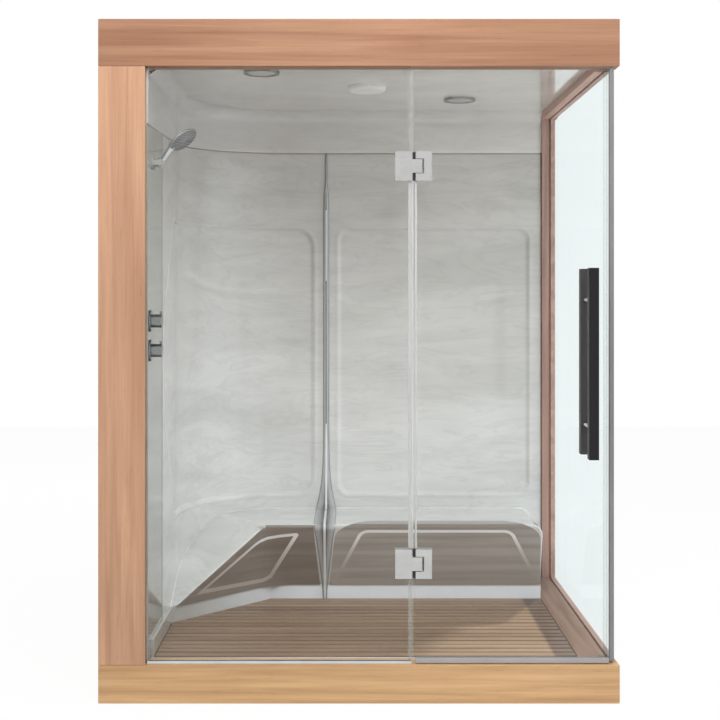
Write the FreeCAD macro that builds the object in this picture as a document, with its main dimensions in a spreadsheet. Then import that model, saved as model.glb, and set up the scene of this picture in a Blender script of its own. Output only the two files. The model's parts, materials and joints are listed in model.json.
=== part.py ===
"""A free-standing two-seat steam cabin, in millimetres.

The front faces -Y, the door is on the right, +Z is up, and the origin is the centre of the base on the floor.
"""
import FreeCAD
import Part
import Sketcher
import math
import os
import re

# Driving sizes, one group for each sub-assembly
SIZES = {
    # Whole cabin
    "cabin_width": 1600,
    "cabin_depth": 1100,
    "cabin_height": 2100,
    "overrun": 5,
    "fit_gap": 0.5,
    "running_gap": 0.05,
    # Plinth
    "plinth_height": 118,
    "plinth_depth": 72,
    "left_plinth_depth": 45,
    "right_plinth_depth": 72,
    # Roof beams
    "roof_beam_height": 145,
    "roof_beam_depth": 62,
    "rear_beam_depth": 48,
    "roof_board": 18,
    # Left post and rear posts
    "post_width": 144,
    "post_depth": 36,
    "rear_post_width": 62,
    # Cladding boards and studs
    "cladding_thickness": 18,
    "cladding_board": 122,
    "cladding_vee": 4,
    "stud_width": 45,
    "left_stud_one": -178,
    "left_stud_two": 42,
    "rear_stud_one": -190,
    "rear_stud_two": 130,
    "rear_stud_three": 450,
    # Right side frame
    "side_overhang": 15,
    "side_frame_thickness": 52,
    "stile_depth": 69,
    "side_rail_drop": 7,
    "side_rail_height": 33,
    "sill_width": 100,
    "sill_height": 20.5,
    "sill_bead": 18,
    "rebate_depth": 12,
    "rebate_width": 25,
    # Glass
    "glass_thickness": 8,
    "glass_setback": 16,
    "glass_groove": 12,
    "groove_clearance": 2,
    "channel_wall": 3,
    "channel_height": 10,
    "channel_floor": 2,
    "side_channel_reach": 14,
    "side_channel_wall": 3,
    # Tray and floor
    "foot_height": 70,
    "foot_pad_radius": 30,
    "foot_pad_height": 9,
    "foot_stem_radius": 6,
    "foot_inset_x": 260,
    "foot_inset_y": 98,
    "tray_thickness": 8,
    "rim_thickness": 8,
    "skirt_thickness": 10,
    "skirt_height": 52,
    "slat_proud": 4,
    "slat_width": 34,
    "slat_gap": 7,
    "slat_thickness": 20,
    "slat_end_gap": 2,
    "batten_width": 40,
    "batten_spacing": 400,
    # Drain
    "drain_x": 220,
    "drain_y": -160,
    "drain_radius": 45,
    "drain_cup_wall": 6,
    "drain_cup_depth": 46,
    "outlet_radius": 20,
    "outlet_bore": 17,
    "outlet_length": 150,
    "collar_radius": 21.5,
    "collar_length": 90,
    "outlet_rise": 24,
    "waste_notch_half": 45,
    "strainer_lip": 10,
    "strainer_thickness": 3,
    "strainer_hole": 5,
    "strainer_ring": 26,
    # Wall panel and moulded seats
    "panel_thickness": 5,
    "panel_length": 278,
    "shell_wall": 8,
    "back_setback": 60,
    "corner_radius": 400,
    "corner_run": 330,
    "corner_overhang": 34,
    "skirt_setback": 265,
    "nose_overhang": 66,
    "nose_lip": 12,
    "seat_height": 288,
    "ramp_end_height": 18,
    "left_unit_width": 531,
    "joint_gap": 4,
    "right_seat_inset": 47,
    "seat_side_round": 42,
    "rim_front_drop": 320,
    "rim_rise": 34,
    "recess_depth": 4,
    "recess_side": 44,
    "recess_right": 46,
    "recess_top": 295,
    "recess_low": 52,
    "recess_round": 45,
    "left_recess_side": 52,
    "hatch_margin": 45,
    # Seat aprons
    "apron_thickness": 5,
    "apron_top_drop": 6,
    "apron_clearance": 1,
    # Metal strip on the joint of the two seats
    "strip_thickness": 8,
    "strip_top_half": 4,
    "strip_half": 15,
    "strip_flare_half": 41,
    "strip_foot_half": 11,
    "strip_neck_drop": 115,
    "strip_flare_rise": 150,
    # Ceiling
    "ceiling_drop": 125,
    "dome_wall": 6,
    "dome_fold": 45,
    "downlight_radius": 58,
    "downlight_ring": 12,
    "downlight_height": 8,
    "lens_height": 6,
    "left_light_x": -313,
    "left_light_y": -359,
    "right_light_x": 378,
    "right_light_y": 166,
    "lamp_x": 32,
    "lamp_y": -80,
    "lamp_radius": 66,
    "lamp_height": 16,
    "lamp_round": 10,
    # Door and fixed glass
    "door_width": 606,
    "pane_gap": 10,
    "door_right_gap": 22,
    "door_foot_gap": 10,
    "door_head_gap": 4,
    "hinge_axis_inset": 8,
    # Hinges
    "hinge_foot_rise": 309,
    "hinge_head_drop": 306,
    "hinge_height": 90,
    "leaf_width": 52,
    "door_leaf_width": 50,
    "leaf_plate": 10,
    "leaf_clamp": 19,
    "leaf_gap": 1,
    "leaf_cover": 6,
    "tongue_half": 21,
    "tongue_reach": 14,
    "tongue_inset": 1,
    "notch_reach": 20,
    "notch_gap": 2,
    "cutout_gap": 2,
    "pin_radius": 3,
    "pin_end_gap": 1,
    "screw_radius": 5,
    "screw_head": 2,
    "screw_spacing": 56,
    # Seals
    "seal_wall": 2,
    "seal_bulb": 6.5,
    "seal_reach": 10,
    "strike_wall": 3,
    "strike_reach": 8,
    "strike_bulb": 6,
    "sweep_wall": 2,
    "sweep_reach": 10,
    "sweep_drop": 7,
    # Handle
    "handle_inset": 70,
    "handle_side": 30,
    "handle_length": 580,
    "handle_rise": 5.5,
    "handle_standoff": 45,
    "standoff_radius": 10,
    "standoff_spacing": 387,
    "standoff_gap": 0.3,
    # Valve and knobs
    "knob_inset": 62,
    "knob_low": 1080,
    "knob_high": 1172,
    "knob_radius": 21,
    "knob_length": 32,
    "knob_gap": 0.3,
    "knob_lever_width": 8,
    "knob_lever_reach": 9,
    "escutcheon_radius": 34,
    "escutcheon_thickness": 6,
    "stem_radius": 8,
    "stem_hole": 14,
    "valve_radius": 20,
    "valve_length": 46,
    "riser_radius": 9,
    "elbow_half": 13,
    "inlet_radius": 10.48,
    "inlet_length": 20,
    "inlet_rise": 30,
    "inlet_offset": 44,
    # Hand shower
    "shower_inset": 110,
    "shower_drop": 110,
    "bracket_radius": 20,
    "bracket_plate": 6,
    "bracket_post": 8,
    "trunnion_radius": 4,
    "socket_reach": 26,
    "socket_radius": 14,
    "socket_height": 24,
    "socket_gap": 0.3,
    "handle_radius": 9,
    "handset_length": 58,
    "handset_tail": 16,
    "handset_head": 50,
    "handset_head_thickness": 14,
    "handset_collar": 2,
    "handset_gap": 0.3,
    # Steam generator under the right seat
    "generator_width": 400,
    "generator_depth": 160,
    "generator_height": 180,
    "generator_x": 60,
    "generator_gap": 30,
    "generator_round": 12,
    "steam_pipe_x": 200,
    "steam_pipe_radius": 8,
    "steam_pipe_bore": 6,
    "steam_pipe_drop": 10,
    "steam_pipe_reach": 22,
}

# Turns, in degrees: the cut front corner of the left seat, the hand shower's stem and its spray face
CORNER_TURN = 45
HANDSET_LEAN = 34
SPRAY_LEAN = 51

X_AXIS = FreeCAD.Vector(1, 0, 0)
Y_AXIS = FreeCAD.Vector(0, 1, 0)
Z_AXIS = FreeCAD.Vector(0, 0, 1)

doc = FreeCAD.newDocument("SteamCabin")
sheet = doc.addObject("Spreadsheet::Sheet", "Sizes")
for row, (name, value) in enumerate(SIZES.items(), start=1):
    sheet.set(f"A{row}", name)
    sheet.set(f"B{row}", str(value))
    sheet.setAlias(f"B{row}", name)
doc.recompute()

nodes = []

# Planes that several pieces share, as formulas of the sheet's names
LEFT = "(-cabin_width / 2)"
RIGHT = "(cabin_width / 2)"
FRONT = "(-cabin_depth / 2)"
REAR = "(cabin_depth / 2)"
PLINTH_BACK = f"({FRONT} + plinth_depth)"
PLINTH_REAR = f"({REAR} - plinth_depth)"
ROOF_UNDER = "(cabin_height - roof_beam_height)"
ROOF_BACK = f"({FRONT} + roof_beam_depth)"
ROOF_REAR = f"({REAR} - rear_beam_depth)"
SIDE_OUT = f"({RIGHT} - side_overhang)"
SIDE_IN = f"({SIDE_OUT} - side_frame_thickness)"
SIDE_GLASS = f"({SIDE_OUT} - rebate_width)"
STILE_FRONT = f"({REAR} - stile_depth)"
RAIL_UNDER = f"({ROOF_UNDER} - side_rail_drop)"
RAIL_TOP = f"({RAIL_UNDER} + side_rail_height)"
SILL_TOP = "(plinth_height + sill_height)"
SILL_IN = f"({SIDE_OUT} - sill_width)"
POST_IN = f"({LEFT} + post_width)"
POST_BACK = f"({FRONT} + post_depth)"
WALL_IN = f"({POST_IN} + panel_thickness)"
WALL_OUT = f"({WALL_IN} - shell_wall)"
BACK_IN = f"({REAR} - back_setback)"
BACK_OUT = f"({BACK_IN} + shell_wall)"
GLASS_MID = f"({FRONT} + glass_setback)"
GLASS_FRONT = f"({GLASS_MID} - glass_thickness / 2)"
GLASS_BACK = f"({GLASS_MID} + glass_thickness / 2)"
PANEL_FRONT = f"({GLASS_BACK} + groove_clearance)"
PANEL_REAR = f"({PANEL_FRONT} + panel_length)"
DECK = "(foot_height + tray_thickness)"
TRAY_RIGHT = f"({SIDE_OUT} - right_plinth_depth)"
TRAY_LEFT = f"({WALL_OUT} - groove_clearance)"
SLAT_TOP = "(plinth_height + slat_proud)"
SKIRT_TOP = f"({SLAT_TOP} + skirt_height)"
SKIRT_FRONT = f"({BACK_IN} - skirt_setback)"
NOSE_FRONT = f"({SKIRT_FRONT} - nose_overhang)"
SEAT_TOP = f"({SLAT_TOP} + seat_height)"
LIP_LOW = f"({SEAT_TOP} - nose_lip)"
JOINT_X = f"({WALL_IN} + left_unit_width)"
SHELL_LEFT_END = f"({JOINT_X} - joint_gap / 2)"
SHELL_RIGHT_START = f"({JOINT_X} + joint_gap / 2)"
RIGHT_SHELL_END = f"({SIDE_IN} - groove_clearance)"
CEILING = "(cabin_height - ceiling_drop)"
RIM_FRONT = "(cabin_height - rim_front_drop)"
RIM_REAR = f"({RIM_FRONT} + rim_rise)"
SHOWER_Z = f"({RIM_FRONT} - shower_drop)"
DOOR_RIGHT = f"({RIGHT} - door_right_gap)"
DOOR_EDGE = f"({DOOR_RIGHT} - door_width)"
DOOR_FOOT = "(plinth_height + door_foot_gap)"
DOOR_HEAD = f"({ROOF_UNDER} - door_head_gap)"
FIXED_EDGE = f"({DOOR_EDGE} - pane_gap)"
HINGE_X = f"({DOOR_EDGE} + hinge_axis_inset)"
HINGE_LOW = "(plinth_height + hinge_foot_rise)"
HINGE_HIGH = f"({ROOF_UNDER} - hinge_head_drop)"
HANDLE_Z = f"(({DOOR_FOOT} + {DOOR_HEAD}) / 2 + handle_rise)"


def formula(text):
    """The expression for a formula written in the sheet's own names."""
    def link(match):
        word = match.group()
        return f"Sizes.{word}" if word in SIZES else word
    return re.sub(r"[a-z][a-z_0-9]*", link, text)


def bind(item, **formulas):
    """Ties properties of an object to the sheet. Double underscores in a key stand for points."""
    for key, text in formulas.items():
        item.setExpression(key.replace("__", "."), formula(text))
    return item


def place(item, x, y, z):
    """Ties the place of an object to the sheet."""
    return bind(item, Placement__Base__x=x, Placement__Base__y=y, Placement__Base__z=z)


def block(label, x_span, y_span, z_span):
    """A rectangular block between pairs of planes."""
    item = doc.addObject("Part::Box", label)
    bind(item, Length=f"{x_span[1]} - {x_span[0]}", Width=f"{y_span[1]} - {y_span[0]}",
         Height=f"{z_span[1]} - {z_span[0]}")
    return place(item, x_span[0], y_span[0], z_span[0])


def rod(label, axis, start, radius, length):
    """A round bar from a start point along an axis."""
    item = doc.addObject("Part::Cylinder", label)
    item.Placement.Rotation = FreeCAD.Rotation(Z_AXIS, axis)
    bind(item, Radius=radius, Height=length)
    return place(item, *start)


def fused(label, *pieces):
    """One solid made of several that meet."""
    item = doc.addObject("Part::MultiFuse", label)
    item.Shapes = list(pieces)
    item.Refine = True
    return item


def cut(label, base, *tools):
    """A solid with others taken out of it."""
    item = doc.addObject("Part::Cut", label)
    item.Base = base
    item.Tool = tools[0] if len(tools) == 1 else fused(label + "_tools", *tools)
    item.Refine = True
    return item


def common(label, base, tool):
    """What two solids share."""
    item = doc.addObject("Part::Common", label)
    item.Base = base
    item.Tool = tool
    item.Refine = True
    return item


def group(label, pieces):
    """Several separate solids kept as one node."""
    item = doc.addObject("Part::Compound", label)
    item.Links = list(pieces)
    return item


def prism(label, role, points, span, turned=False):
    """A body padded from an outline on one of its own origin planes, between two offsets from that plane.

    On the XZ plane the offsets are Y values with the larger one first.
    """
    body = doc.addObject("PartDesign::Body", label)
    plane = [feature for feature in body.Origin.OriginFeatures if feature.Role == role][0]
    sketch = body.newObject("Sketcher::SketchObject", label + "_outline")
    sketch.AttachmentSupport = [(plane, "")]
    sketch.MapMode = "FlatFace"
    count = len(points)
    rough = [FreeCAD.Vector(math.cos(math.tau * i / count), math.sin(math.tau * i / count), 0)
             for i in range(count)]
    for i in range(count):
        sketch.addGeometry(Part.LineSegment(rough[i], rough[(i + 1) % count]), False)
    for i in range(count):
        sketch.addConstraint(Sketcher.Constraint("Coincident", i, 2, (i + 1) % count, 1))
    for i, (across, up) in enumerate(points):
        for kind, text in (("DistanceX", across), ("DistanceY", up)):
            index = sketch.addConstraint(Sketcher.Constraint(kind, -1, 1, i, 1, 1.0))
            sketch.setExpression(f"Constraints[{index}]", formula(text))
    sign = "-" if role == "XZ_Plane" else ""
    bind(sketch, AttachmentOffset__Base__z=f"{sign}{span[0]}")
    pad = body.newObject("PartDesign::Pad", label + "_pad")
    pad.Profile = sketch
    bind(pad, Length=f"{sign}({span[1]} - {span[0]})")
    body.Tip = pad
    if turned:
        body.Placement.Rotation = FreeCAD.Rotation(Z_AXIS, CORNER_TURN)
    return body


def rounded(label, base, radius, test):
    """A fillet on every edge of a solid that passes a test on its two ends."""
    doc.recompute()
    item = doc.addObject("Part::Fillet", label)
    item.Base = base
    value = SIZES[radius] if isinstance(radius, str) else radius
    chosen = []
    for index, edge in enumerate(base.Shape.Edges, start=1):
        ends = [vertex.Point for vertex in edge.Vertexes]
        if len(ends) == 2 and test(*ends):
            chosen.append((index, value, value))
    item.Edges = chosen
    return item


def node(item, label=None):
    """Keeps an object as one of the cabin's named pieces."""
    item.Label = label or item.Label
    nodes.append(item)
    return item


# Plinth beams stand on the floor; the rear one is notched over the waste pipe's way out
node(block("front_plinth_beam", (LEFT, RIGHT), (FRONT, PLINTH_BACK), ("0", "plinth_height")))
CUP_LOW = "(foot_height - drain_cup_depth)"
OUTLET_Z = f"({CUP_LOW} + outlet_rise)"
rear_plinth = block("rear_plinth_bar", (LEFT, RIGHT), (PLINTH_REAR, REAR), ("0", "plinth_height"))
waste_notch = block("waste_notch", ("(drain_x - waste_notch_half)", "(drain_x + waste_notch_half)"),
                    (f"({PLINTH_REAR} - overrun)", f"({REAR} + overrun)"),
                    ("(-overrun)", f"({OUTLET_Z} + waste_notch_half)"))
node(cut("rear_plinth_beam", rear_plinth, waste_notch))
node(block("left_plinth_beam", (LEFT, f"({LEFT} + left_plinth_depth)"), (PLINTH_BACK, PLINTH_REAR),
           ("0", "plinth_height")))
node(block("right_plinth_beam", (TRAY_RIGHT, SIDE_OUT), (PLINTH_BACK, PLINTH_REAR), ("0", "plinth_height")))

# Levelling feet: three along the front, three along the rear and one under the middle
FOOT_SPOTS = [(column, line) for line in (-1, 1) for column in (-1, 0, 1)] + [(0, 0)]


def levelling_foot(index, column, line):
    """A round pad with a screw stem up to the tray."""
    spot = (f"{column} * ({RIGHT} - foot_inset_x)", f"{line} * ({PLINTH_REAR} - foot_inset_y)")
    pad = rod(f"foot_pad_{index}", Z_AXIS, (*spot, "0"), "foot_pad_radius", "foot_pad_height")
    stem = rod(f"foot_stem_{index}", Z_AXIS, (*spot, "foot_pad_height"), "foot_stem_radius",
               "foot_height - foot_pad_height")
    return fused(f"foot_{index}", pad, stem)


node(group("levelling_feet", [levelling_foot(i, *spot) for i, spot in enumerate(FOOT_SPOTS)]))

# Tray with its rims and the upstand that the seats stand on
SKIRT_IN = f"({WALL_IN} + skirt_thickness)"
SKIRT_BEND = f"({WALL_IN} + corner_run)"
SKIRT_BACK = f"({SKIRT_FRONT} + skirt_thickness)"
RIM_BACK = f"({PLINTH_BACK} + rim_thickness)"
RIM_RIGHT = f"({TRAY_RIGHT} - rim_thickness)"
tray_floor = block("tray_floor", (TRAY_LEFT, TRAY_RIGHT), (PLINTH_BACK, PLINTH_REAR), ("foot_height", DECK))
tray_front = block("tray_front_rim", (TRAY_LEFT, TRAY_RIGHT), (PLINTH_BACK, RIM_BACK), (DECK, "plinth_height"))
tray_rear = block("tray_rear_rim", (TRAY_LEFT, TRAY_RIGHT), (f"({PLINTH_REAR} - rim_thickness)", PLINTH_REAR),
                  (DECK, "plinth_height"))
tray_left = block("tray_left_rim", (TRAY_LEFT, WALL_IN), (RIM_BACK, PLINTH_REAR), (DECK, "plinth_height"))
tray_right = block("tray_right_rim", (RIM_RIGHT, TRAY_RIGHT), (RIM_BACK, PLINTH_REAR), (DECK, "plinth_height"))
tray_skirt = prism("tray_skirt", "XY_Plane", [
    (SILL_IN, SKIRT_FRONT),
    (SKIRT_BEND, SKIRT_FRONT),
    (SKIRT_IN, f"{SKIRT_FRONT} - corner_run + skirt_thickness"),
    (SKIRT_IN, RIM_BACK),
    (WALL_IN, RIM_BACK),
    (WALL_IN, f"{SKIRT_FRONT} - corner_run + skirt_thickness * sqrt(2)"),
    (f"{SKIRT_BEND} - skirt_thickness * (sqrt(2) - 1)", SKIRT_BACK),
    (SILL_IN, SKIRT_BACK),
], (DECK, SKIRT_TOP))
drain_hole = rod("tray_drain_hole", Z_AXIS, ("drain_x", "drain_y", "foot_height - overrun"), "drain_radius",
                 "tray_thickness + 2 * overrun")
STEAM_Z = f"({DECK} + steam_pipe_drop)"
steam_hole = rod("tray_steam_hole", Y_AXIS, ("steam_pipe_x", f"{SKIRT_FRONT} - overrun", STEAM_Z),
                 "steam_pipe_radius + fit_gap", "skirt_thickness + 2 * overrun")
tray = fused("tray_whole", tray_floor, tray_front, tray_rear, tray_left, tray_right, tray_skirt)
node(cut("shower_tray", tray, drain_hole, steam_hole))

# Drain cup under the tray, its outlet and the strainer over it
CUP_OUT = "(drain_radius + drain_cup_wall)"
cup = rod("drain_cup", Z_AXIS, ("drain_x", "drain_y", CUP_LOW), CUP_OUT, "drain_cup_depth")
outlet = rod("drain_outlet", Y_AXIS, ("drain_x", "drain_y", OUTLET_Z), "outlet_radius", "outlet_length")
collar = rod("drain_collar", Y_AXIS, ("drain_x", "drain_y", OUTLET_Z), "collar_radius", "collar_length")
cup_bore = rod("drain_cup_bore", Z_AXIS, ("drain_x", "drain_y", f"{CUP_LOW} + drain_cup_wall"), "drain_radius",
               "drain_cup_depth")
outlet_bore = rod("drain_outlet_bore", Y_AXIS, ("drain_x", "drain_y", OUTLET_Z), "outlet_bore",
                  "outlet_length + overrun")
node(cut("drain_body", fused("drain_whole", cup, collar, outlet), cup_bore, outlet_bore))
grate = rod("strainer_plate", Z_AXIS, ("drain_x", "drain_y", DECK), "drain_radius + strainer_lip",
            "strainer_thickness")
grate_holes = []
STRAINER_HOLES = 8
for i in range(STRAINER_HOLES):
    turn = f"{360 * i / STRAINER_HOLES} deg"
    grate_holes.append(rod(f"strainer_hole_{i}", Z_AXIS, (f"drain_x + strainer_ring * cos({turn})",
                                                         f"drain_y + strainer_ring * sin({turn})",
                                                         f"{DECK} - overrun"),
                           "strainer_hole", "strainer_thickness + 2 * overrun"))
node(cut("drain_strainer", grate, *grate_holes))

# Slatted floor on battens, trimmed to the tray
FLOOR_FRONT = f"({RIM_BACK} + slat_end_gap)"
FLOOR_REAR = f"({SKIRT_FRONT} - slat_end_gap)"
FLOOR_LEFT = f"({SKIRT_IN} + slat_end_gap)"
FLOOR_RIGHT = f"({SILL_IN} - slat_end_gap)"
SLAT_UNDER = f"({SLAT_TOP} - slat_thickness)"
CORNER_TRIM = "slat_end_gap * (sqrt(2) - 1)"


def floor_outline(label, low, high):
    """The floor's plan shape between two heights."""
    return prism(label, "XY_Plane", [
        (FLOOR_LEFT, FLOOR_FRONT),
        (FLOOR_RIGHT, FLOOR_FRONT),
        (FLOOR_RIGHT, FLOOR_REAR),
        (f"{SKIRT_BEND} + {CORNER_TRIM}", FLOOR_REAR),
        (FLOOR_LEFT, f"{SKIRT_FRONT} - corner_run + skirt_thickness - {CORNER_TRIM}"),
    ], (low, high))


floor_run = (SIZES["cabin_depth"] - SIZES["back_setback"] - SIZES["skirt_setback"] - SIZES["plinth_depth"]
             - SIZES["rim_thickness"] - 2 * SIZES["slat_end_gap"])
slat_count = int((floor_run + SIZES["slat_gap"]) // (SIZES["slat_width"] + SIZES["slat_gap"]))
slats = []
for i in range(slat_count):
    slat_front = f"({FLOOR_REAR} - {i} * (slat_width + slat_gap) - slat_width)"
    slats.append(block(f"slat_{i}", (FLOOR_LEFT, FLOOR_RIGHT), (slat_front, f"({slat_front} + slat_width)"),
                       (SLAT_UNDER, SLAT_TOP)))
node(common("floor_slats", group("slat_rows", slats), floor_outline("slat_trim", SLAT_UNDER, SLAT_TOP)))
battens = []
for i in (-1, 0, 1):
    batten_left = f"({i} * batten_spacing - batten_width / 2)"
    battens.append(block(f"batten_{i + 1}", (batten_left, f"({batten_left} + batten_width)"),
                         (FLOOR_FRONT, FLOOR_REAR), (DECK, SLAT_UNDER)))
node(common("floor_battens", group("batten_rows", battens), floor_outline("batten_trim", DECK, SLAT_UNDER)))

# Left front post, grooved for the fixed glass, and the left rear post
GROOVE_FRONT = f"({GLASS_FRONT} - groove_clearance)"
GROOVE_BACK = f"({GLASS_BACK} + groove_clearance)"
POST_TOP = ROOF_UNDER
post = block("left_post_bar", (LEFT, POST_IN), (FRONT, POST_BACK), ("plinth_height", POST_TOP))
post_groove = block("left_post_groove", (f"({POST_IN} - glass_groove)", f"({POST_IN} + overrun)"),
                    (GROOVE_FRONT, GROOVE_BACK), ("(plinth_height - overrun)", f"({POST_TOP} + overrun)"))
node(cut("left_front_post", post, post_groove))
REAR_POST_IN = f"({LEFT} + rear_post_width)"
node(block("left_rear_post", (LEFT, REAR_POST_IN), (ROOF_REAR, REAR), ("plinth_height", POST_TOP)))


def cladding_outline(start, stop, face, inner, outward, boards):
    """Points of a boarded face: a flat back and a vee between each pair of boards."""
    points = [(start, inner), (start, face)]
    step = f"(({stop} - {start}) / {boards})"
    for i in range(1, boards):
        seam = f"({start} + {i} * {step})"
        points.append((f"{seam} - cladding_vee", face))
        points.append((seam, f"{face} - {outward} * cladding_vee"))
        points.append((f"{seam} + cladding_vee", face))
    return points + [(stop, face), (stop, inner)]


left_boards = round((SIZES["cabin_depth"] - SIZES["post_depth"] - SIZES["rear_beam_depth"])
                    / SIZES["cladding_board"])
left_outline = cladding_outline(POST_BACK, ROOF_REAR, LEFT, f"({LEFT} + cladding_thickness)", -1, left_boards)
node(prism("left_cladding", "XY_Plane", [(x, y) for y, x in left_outline], ("plinth_height", POST_TOP)))
rear_boards = round((SIZES["cabin_width"] - SIZES["rear_post_width"] - SIZES["side_overhang"]
                     - SIZES["side_frame_thickness"]) / SIZES["cladding_board"])
rear_outline = cladding_outline(REAR_POST_IN, SIDE_IN, REAR, f"({REAR} - cladding_thickness)", 1, rear_boards)
node(prism("rear_cladding", "XY_Plane", rear_outline, ("plinth_height", POST_TOP)))

# Studs between the cladding and the moulded walls
studs = []
for i, start in enumerate(("left_stud_one", "left_stud_two")):
    studs.append(block(f"left_stud_{i}", (f"({LEFT} + cladding_thickness)", WALL_OUT),
                       (start, f"({start} + stud_width)"), ("plinth_height", RIM_FRONT)))
for i, start in enumerate(("rear_stud_one", "rear_stud_two", "rear_stud_three")):
    studs.append(block(f"rear_stud_{i}", (start, f"({start} + stud_width)"),
                       (BACK_OUT, f"({REAR} - cladding_thickness)"), ("plinth_height", POST_TOP)))
node(group("wall_studs", studs))

# Roof beams and the board that closes the top
roof_bar = block("front_roof_bar", (LEFT, RIGHT), (FRONT, ROOF_BACK), (ROOF_UNDER, "cabin_height"))
roof_groove = block("front_roof_groove", (f"({POST_IN} - glass_groove)", FIXED_EDGE),
                    (GROOVE_FRONT, GROOVE_BACK),
                    (f"({ROOF_UNDER} - overrun)", f"({ROOF_UNDER} + glass_groove)"))
node(cut("front_roof_beam", roof_bar, roof_groove))
node(block("rear_roof_beam", (LEFT, RIGHT), (ROOF_REAR, REAR), (ROOF_UNDER, "cabin_height")))
node(block("left_roof_beam", (LEFT, REAR_POST_IN), (ROOF_BACK, ROOF_REAR), (ROOF_UNDER, "cabin_height")))
node(block("right_roof_beam", (SIDE_IN, SIDE_OUT), (ROOF_BACK, ROOF_REAR), (RAIL_TOP, "cabin_height")))
node(block("roof_board", (REAR_POST_IN, SIDE_IN), (ROOF_BACK, ROOF_REAR),
           ("(cabin_height - roof_board)", "cabin_height")))

# Right side frame: rear stile, top rail and sill, each rebated for the side glass
SIDE_GLASS_OUT = f"({SIDE_GLASS} + glass_thickness)"
SIDE_FRONT = f"({GLASS_BACK} + side_channel_wall + strike_wall + groove_clearance)"
REBATE_LOW = f"({SILL_TOP} - rebate_depth)"
STILE_REBATE = f"({STILE_FRONT} + rebate_depth)"
stile_bar = block("stile_bar", (SIDE_IN, SIDE_OUT), (STILE_FRONT, REAR), ("plinth_height", ROOF_UNDER))
stile_head = block("stile_head", (SIDE_IN, SIDE_OUT), (STILE_FRONT, ROOF_REAR), (ROOF_UNDER, RAIL_TOP))
stile_rebate = block("stile_rebate", (SIDE_GLASS, f"({SIDE_OUT} + overrun)"),
                     (f"({STILE_FRONT} - overrun)", STILE_REBATE), (REBATE_LOW, ROOF_UNDER))
node(cut("right_rear_stile", fused("stile_whole", stile_bar, stile_head), stile_rebate))
rail_bar = block("rail_bar", (SIDE_IN, SIDE_OUT), (ROOF_BACK, STILE_FRONT), (RAIL_UNDER, RAIL_TOP))
rail_rebate = block("rail_rebate", (SIDE_GLASS, f"({SIDE_OUT} + overrun)"),
                    (f"({ROOF_BACK} - overrun)", f"({STILE_FRONT} + overrun)"),
                    (f"({RAIL_UNDER} - overrun)", ROOF_UNDER))
node(cut("side_top_rail", rail_bar, rail_rebate))
node(prism("side_sill", "XZ_Plane", [
    (SILL_IN, "plinth_height"),
    (SIDE_OUT, "plinth_height"),
    (SIDE_OUT, REBATE_LOW),
    (SIDE_GLASS, REBATE_LOW),
    (SIDE_GLASS, SILL_TOP),
    (f"{SIDE_GLASS} - sill_bead", SILL_TOP),
    (SILL_IN, SLAT_TOP),
], (STILE_FRONT, SIDE_FRONT)))
node(block("side_glass", (SIDE_GLASS, SIDE_GLASS_OUT), (f"({SIDE_FRONT} + side_channel_wall)", STILE_REBATE),
           (REBATE_LOW, ROOF_UNDER)))
beads = [
    block("bead_rear", (SIDE_GLASS_OUT, SIDE_OUT), (STILE_FRONT, STILE_REBATE), (REBATE_LOW, ROOF_UNDER)),
    block("bead_top", (SIDE_GLASS_OUT, SIDE_OUT), (ROOF_BACK, STILE_FRONT), (RAIL_UNDER, ROOF_UNDER)),
    block("bead_low", (SIDE_GLASS_OUT, SIDE_OUT), (SIDE_FRONT, STILE_FRONT), (REBATE_LOW, SILL_TOP)),
]
node(fused("side_glazing_beads", *beads))
side_cover = block("side_channel_bar",
                   (f"({SIDE_GLASS} - side_channel_wall)", f"({SIDE_GLASS_OUT} + side_channel_wall)"),
                   (SIDE_FRONT, f"({SIDE_FRONT} + side_channel_reach)"), (SILL_TOP, RAIL_UNDER))
side_slot = block("side_channel_slot", (SIDE_GLASS, SIDE_GLASS_OUT),
                  (f"({SIDE_FRONT} + side_channel_wall)", f"({SIDE_FRONT} + side_channel_reach + overrun)"),
                  (f"({SILL_TOP} - overrun)", f"({RAIL_UNDER} + overrun)"))
node(cut("side_glass_channel", side_cover, side_slot))


# The sloping line where the walls meet the ceiling
RIM_RUN = f"({BACK_IN} - {PANEL_FRONT})"
PANEL_RIM = f"({RIM_FRONT} + ({RIM_REAR} - {RIM_FRONT}) * panel_length / {RIM_RUN})"
RIM_LINE = [(PANEL_FRONT, RIM_FRONT), (BACK_IN, RIM_REAR),
            (f"{BACK_OUT} + overrun", RIM_REAR)]
ABOVE_RIM = RIM_LINE + [(f"{BACK_OUT} + overrun", f"{RIM_REAR} + 2 * overrun"),
                        (PANEL_FRONT, f"{RIM_REAR} + 2 * overrun")]
BELOW_RIM = RIM_LINE + [(f"{BACK_OUT} + overrun", f"{RIM_FRONT} - 2 * overrun"),
                        (PANEL_FRONT, f"{RIM_FRONT} - 2 * overrun")]

# Flat wall panel beside the post, bored for the two valves and the shower bracket
KNOB_Y = f"({FRONT} + knob_inset)"
SHOWER_Y = f"({FRONT} + shower_inset)"
panel = prism("left_panel_sheet", "YZ_Plane", [
    (PANEL_FRONT, "plinth_height"),
    (PANEL_REAR, "plinth_height"),
    (PANEL_REAR, PANEL_RIM),
    (PANEL_FRONT, RIM_FRONT),
], (POST_IN, WALL_IN))
panel_holes = []
for label, hole_y, hole_z in (("low", KNOB_Y, "knob_low"), ("high", KNOB_Y, "knob_high"),
                              ("shower", SHOWER_Y, SHOWER_Z)):
    panel_holes.append(rod(f"panel_hole_{label}", X_AXIS, (f"{POST_IN} - overrun", hole_y, hole_z),
                           "stem_hole", "panel_thickness + 2 * overrun"))
node(cut("left_wall_panel", panel, *panel_holes))

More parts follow.
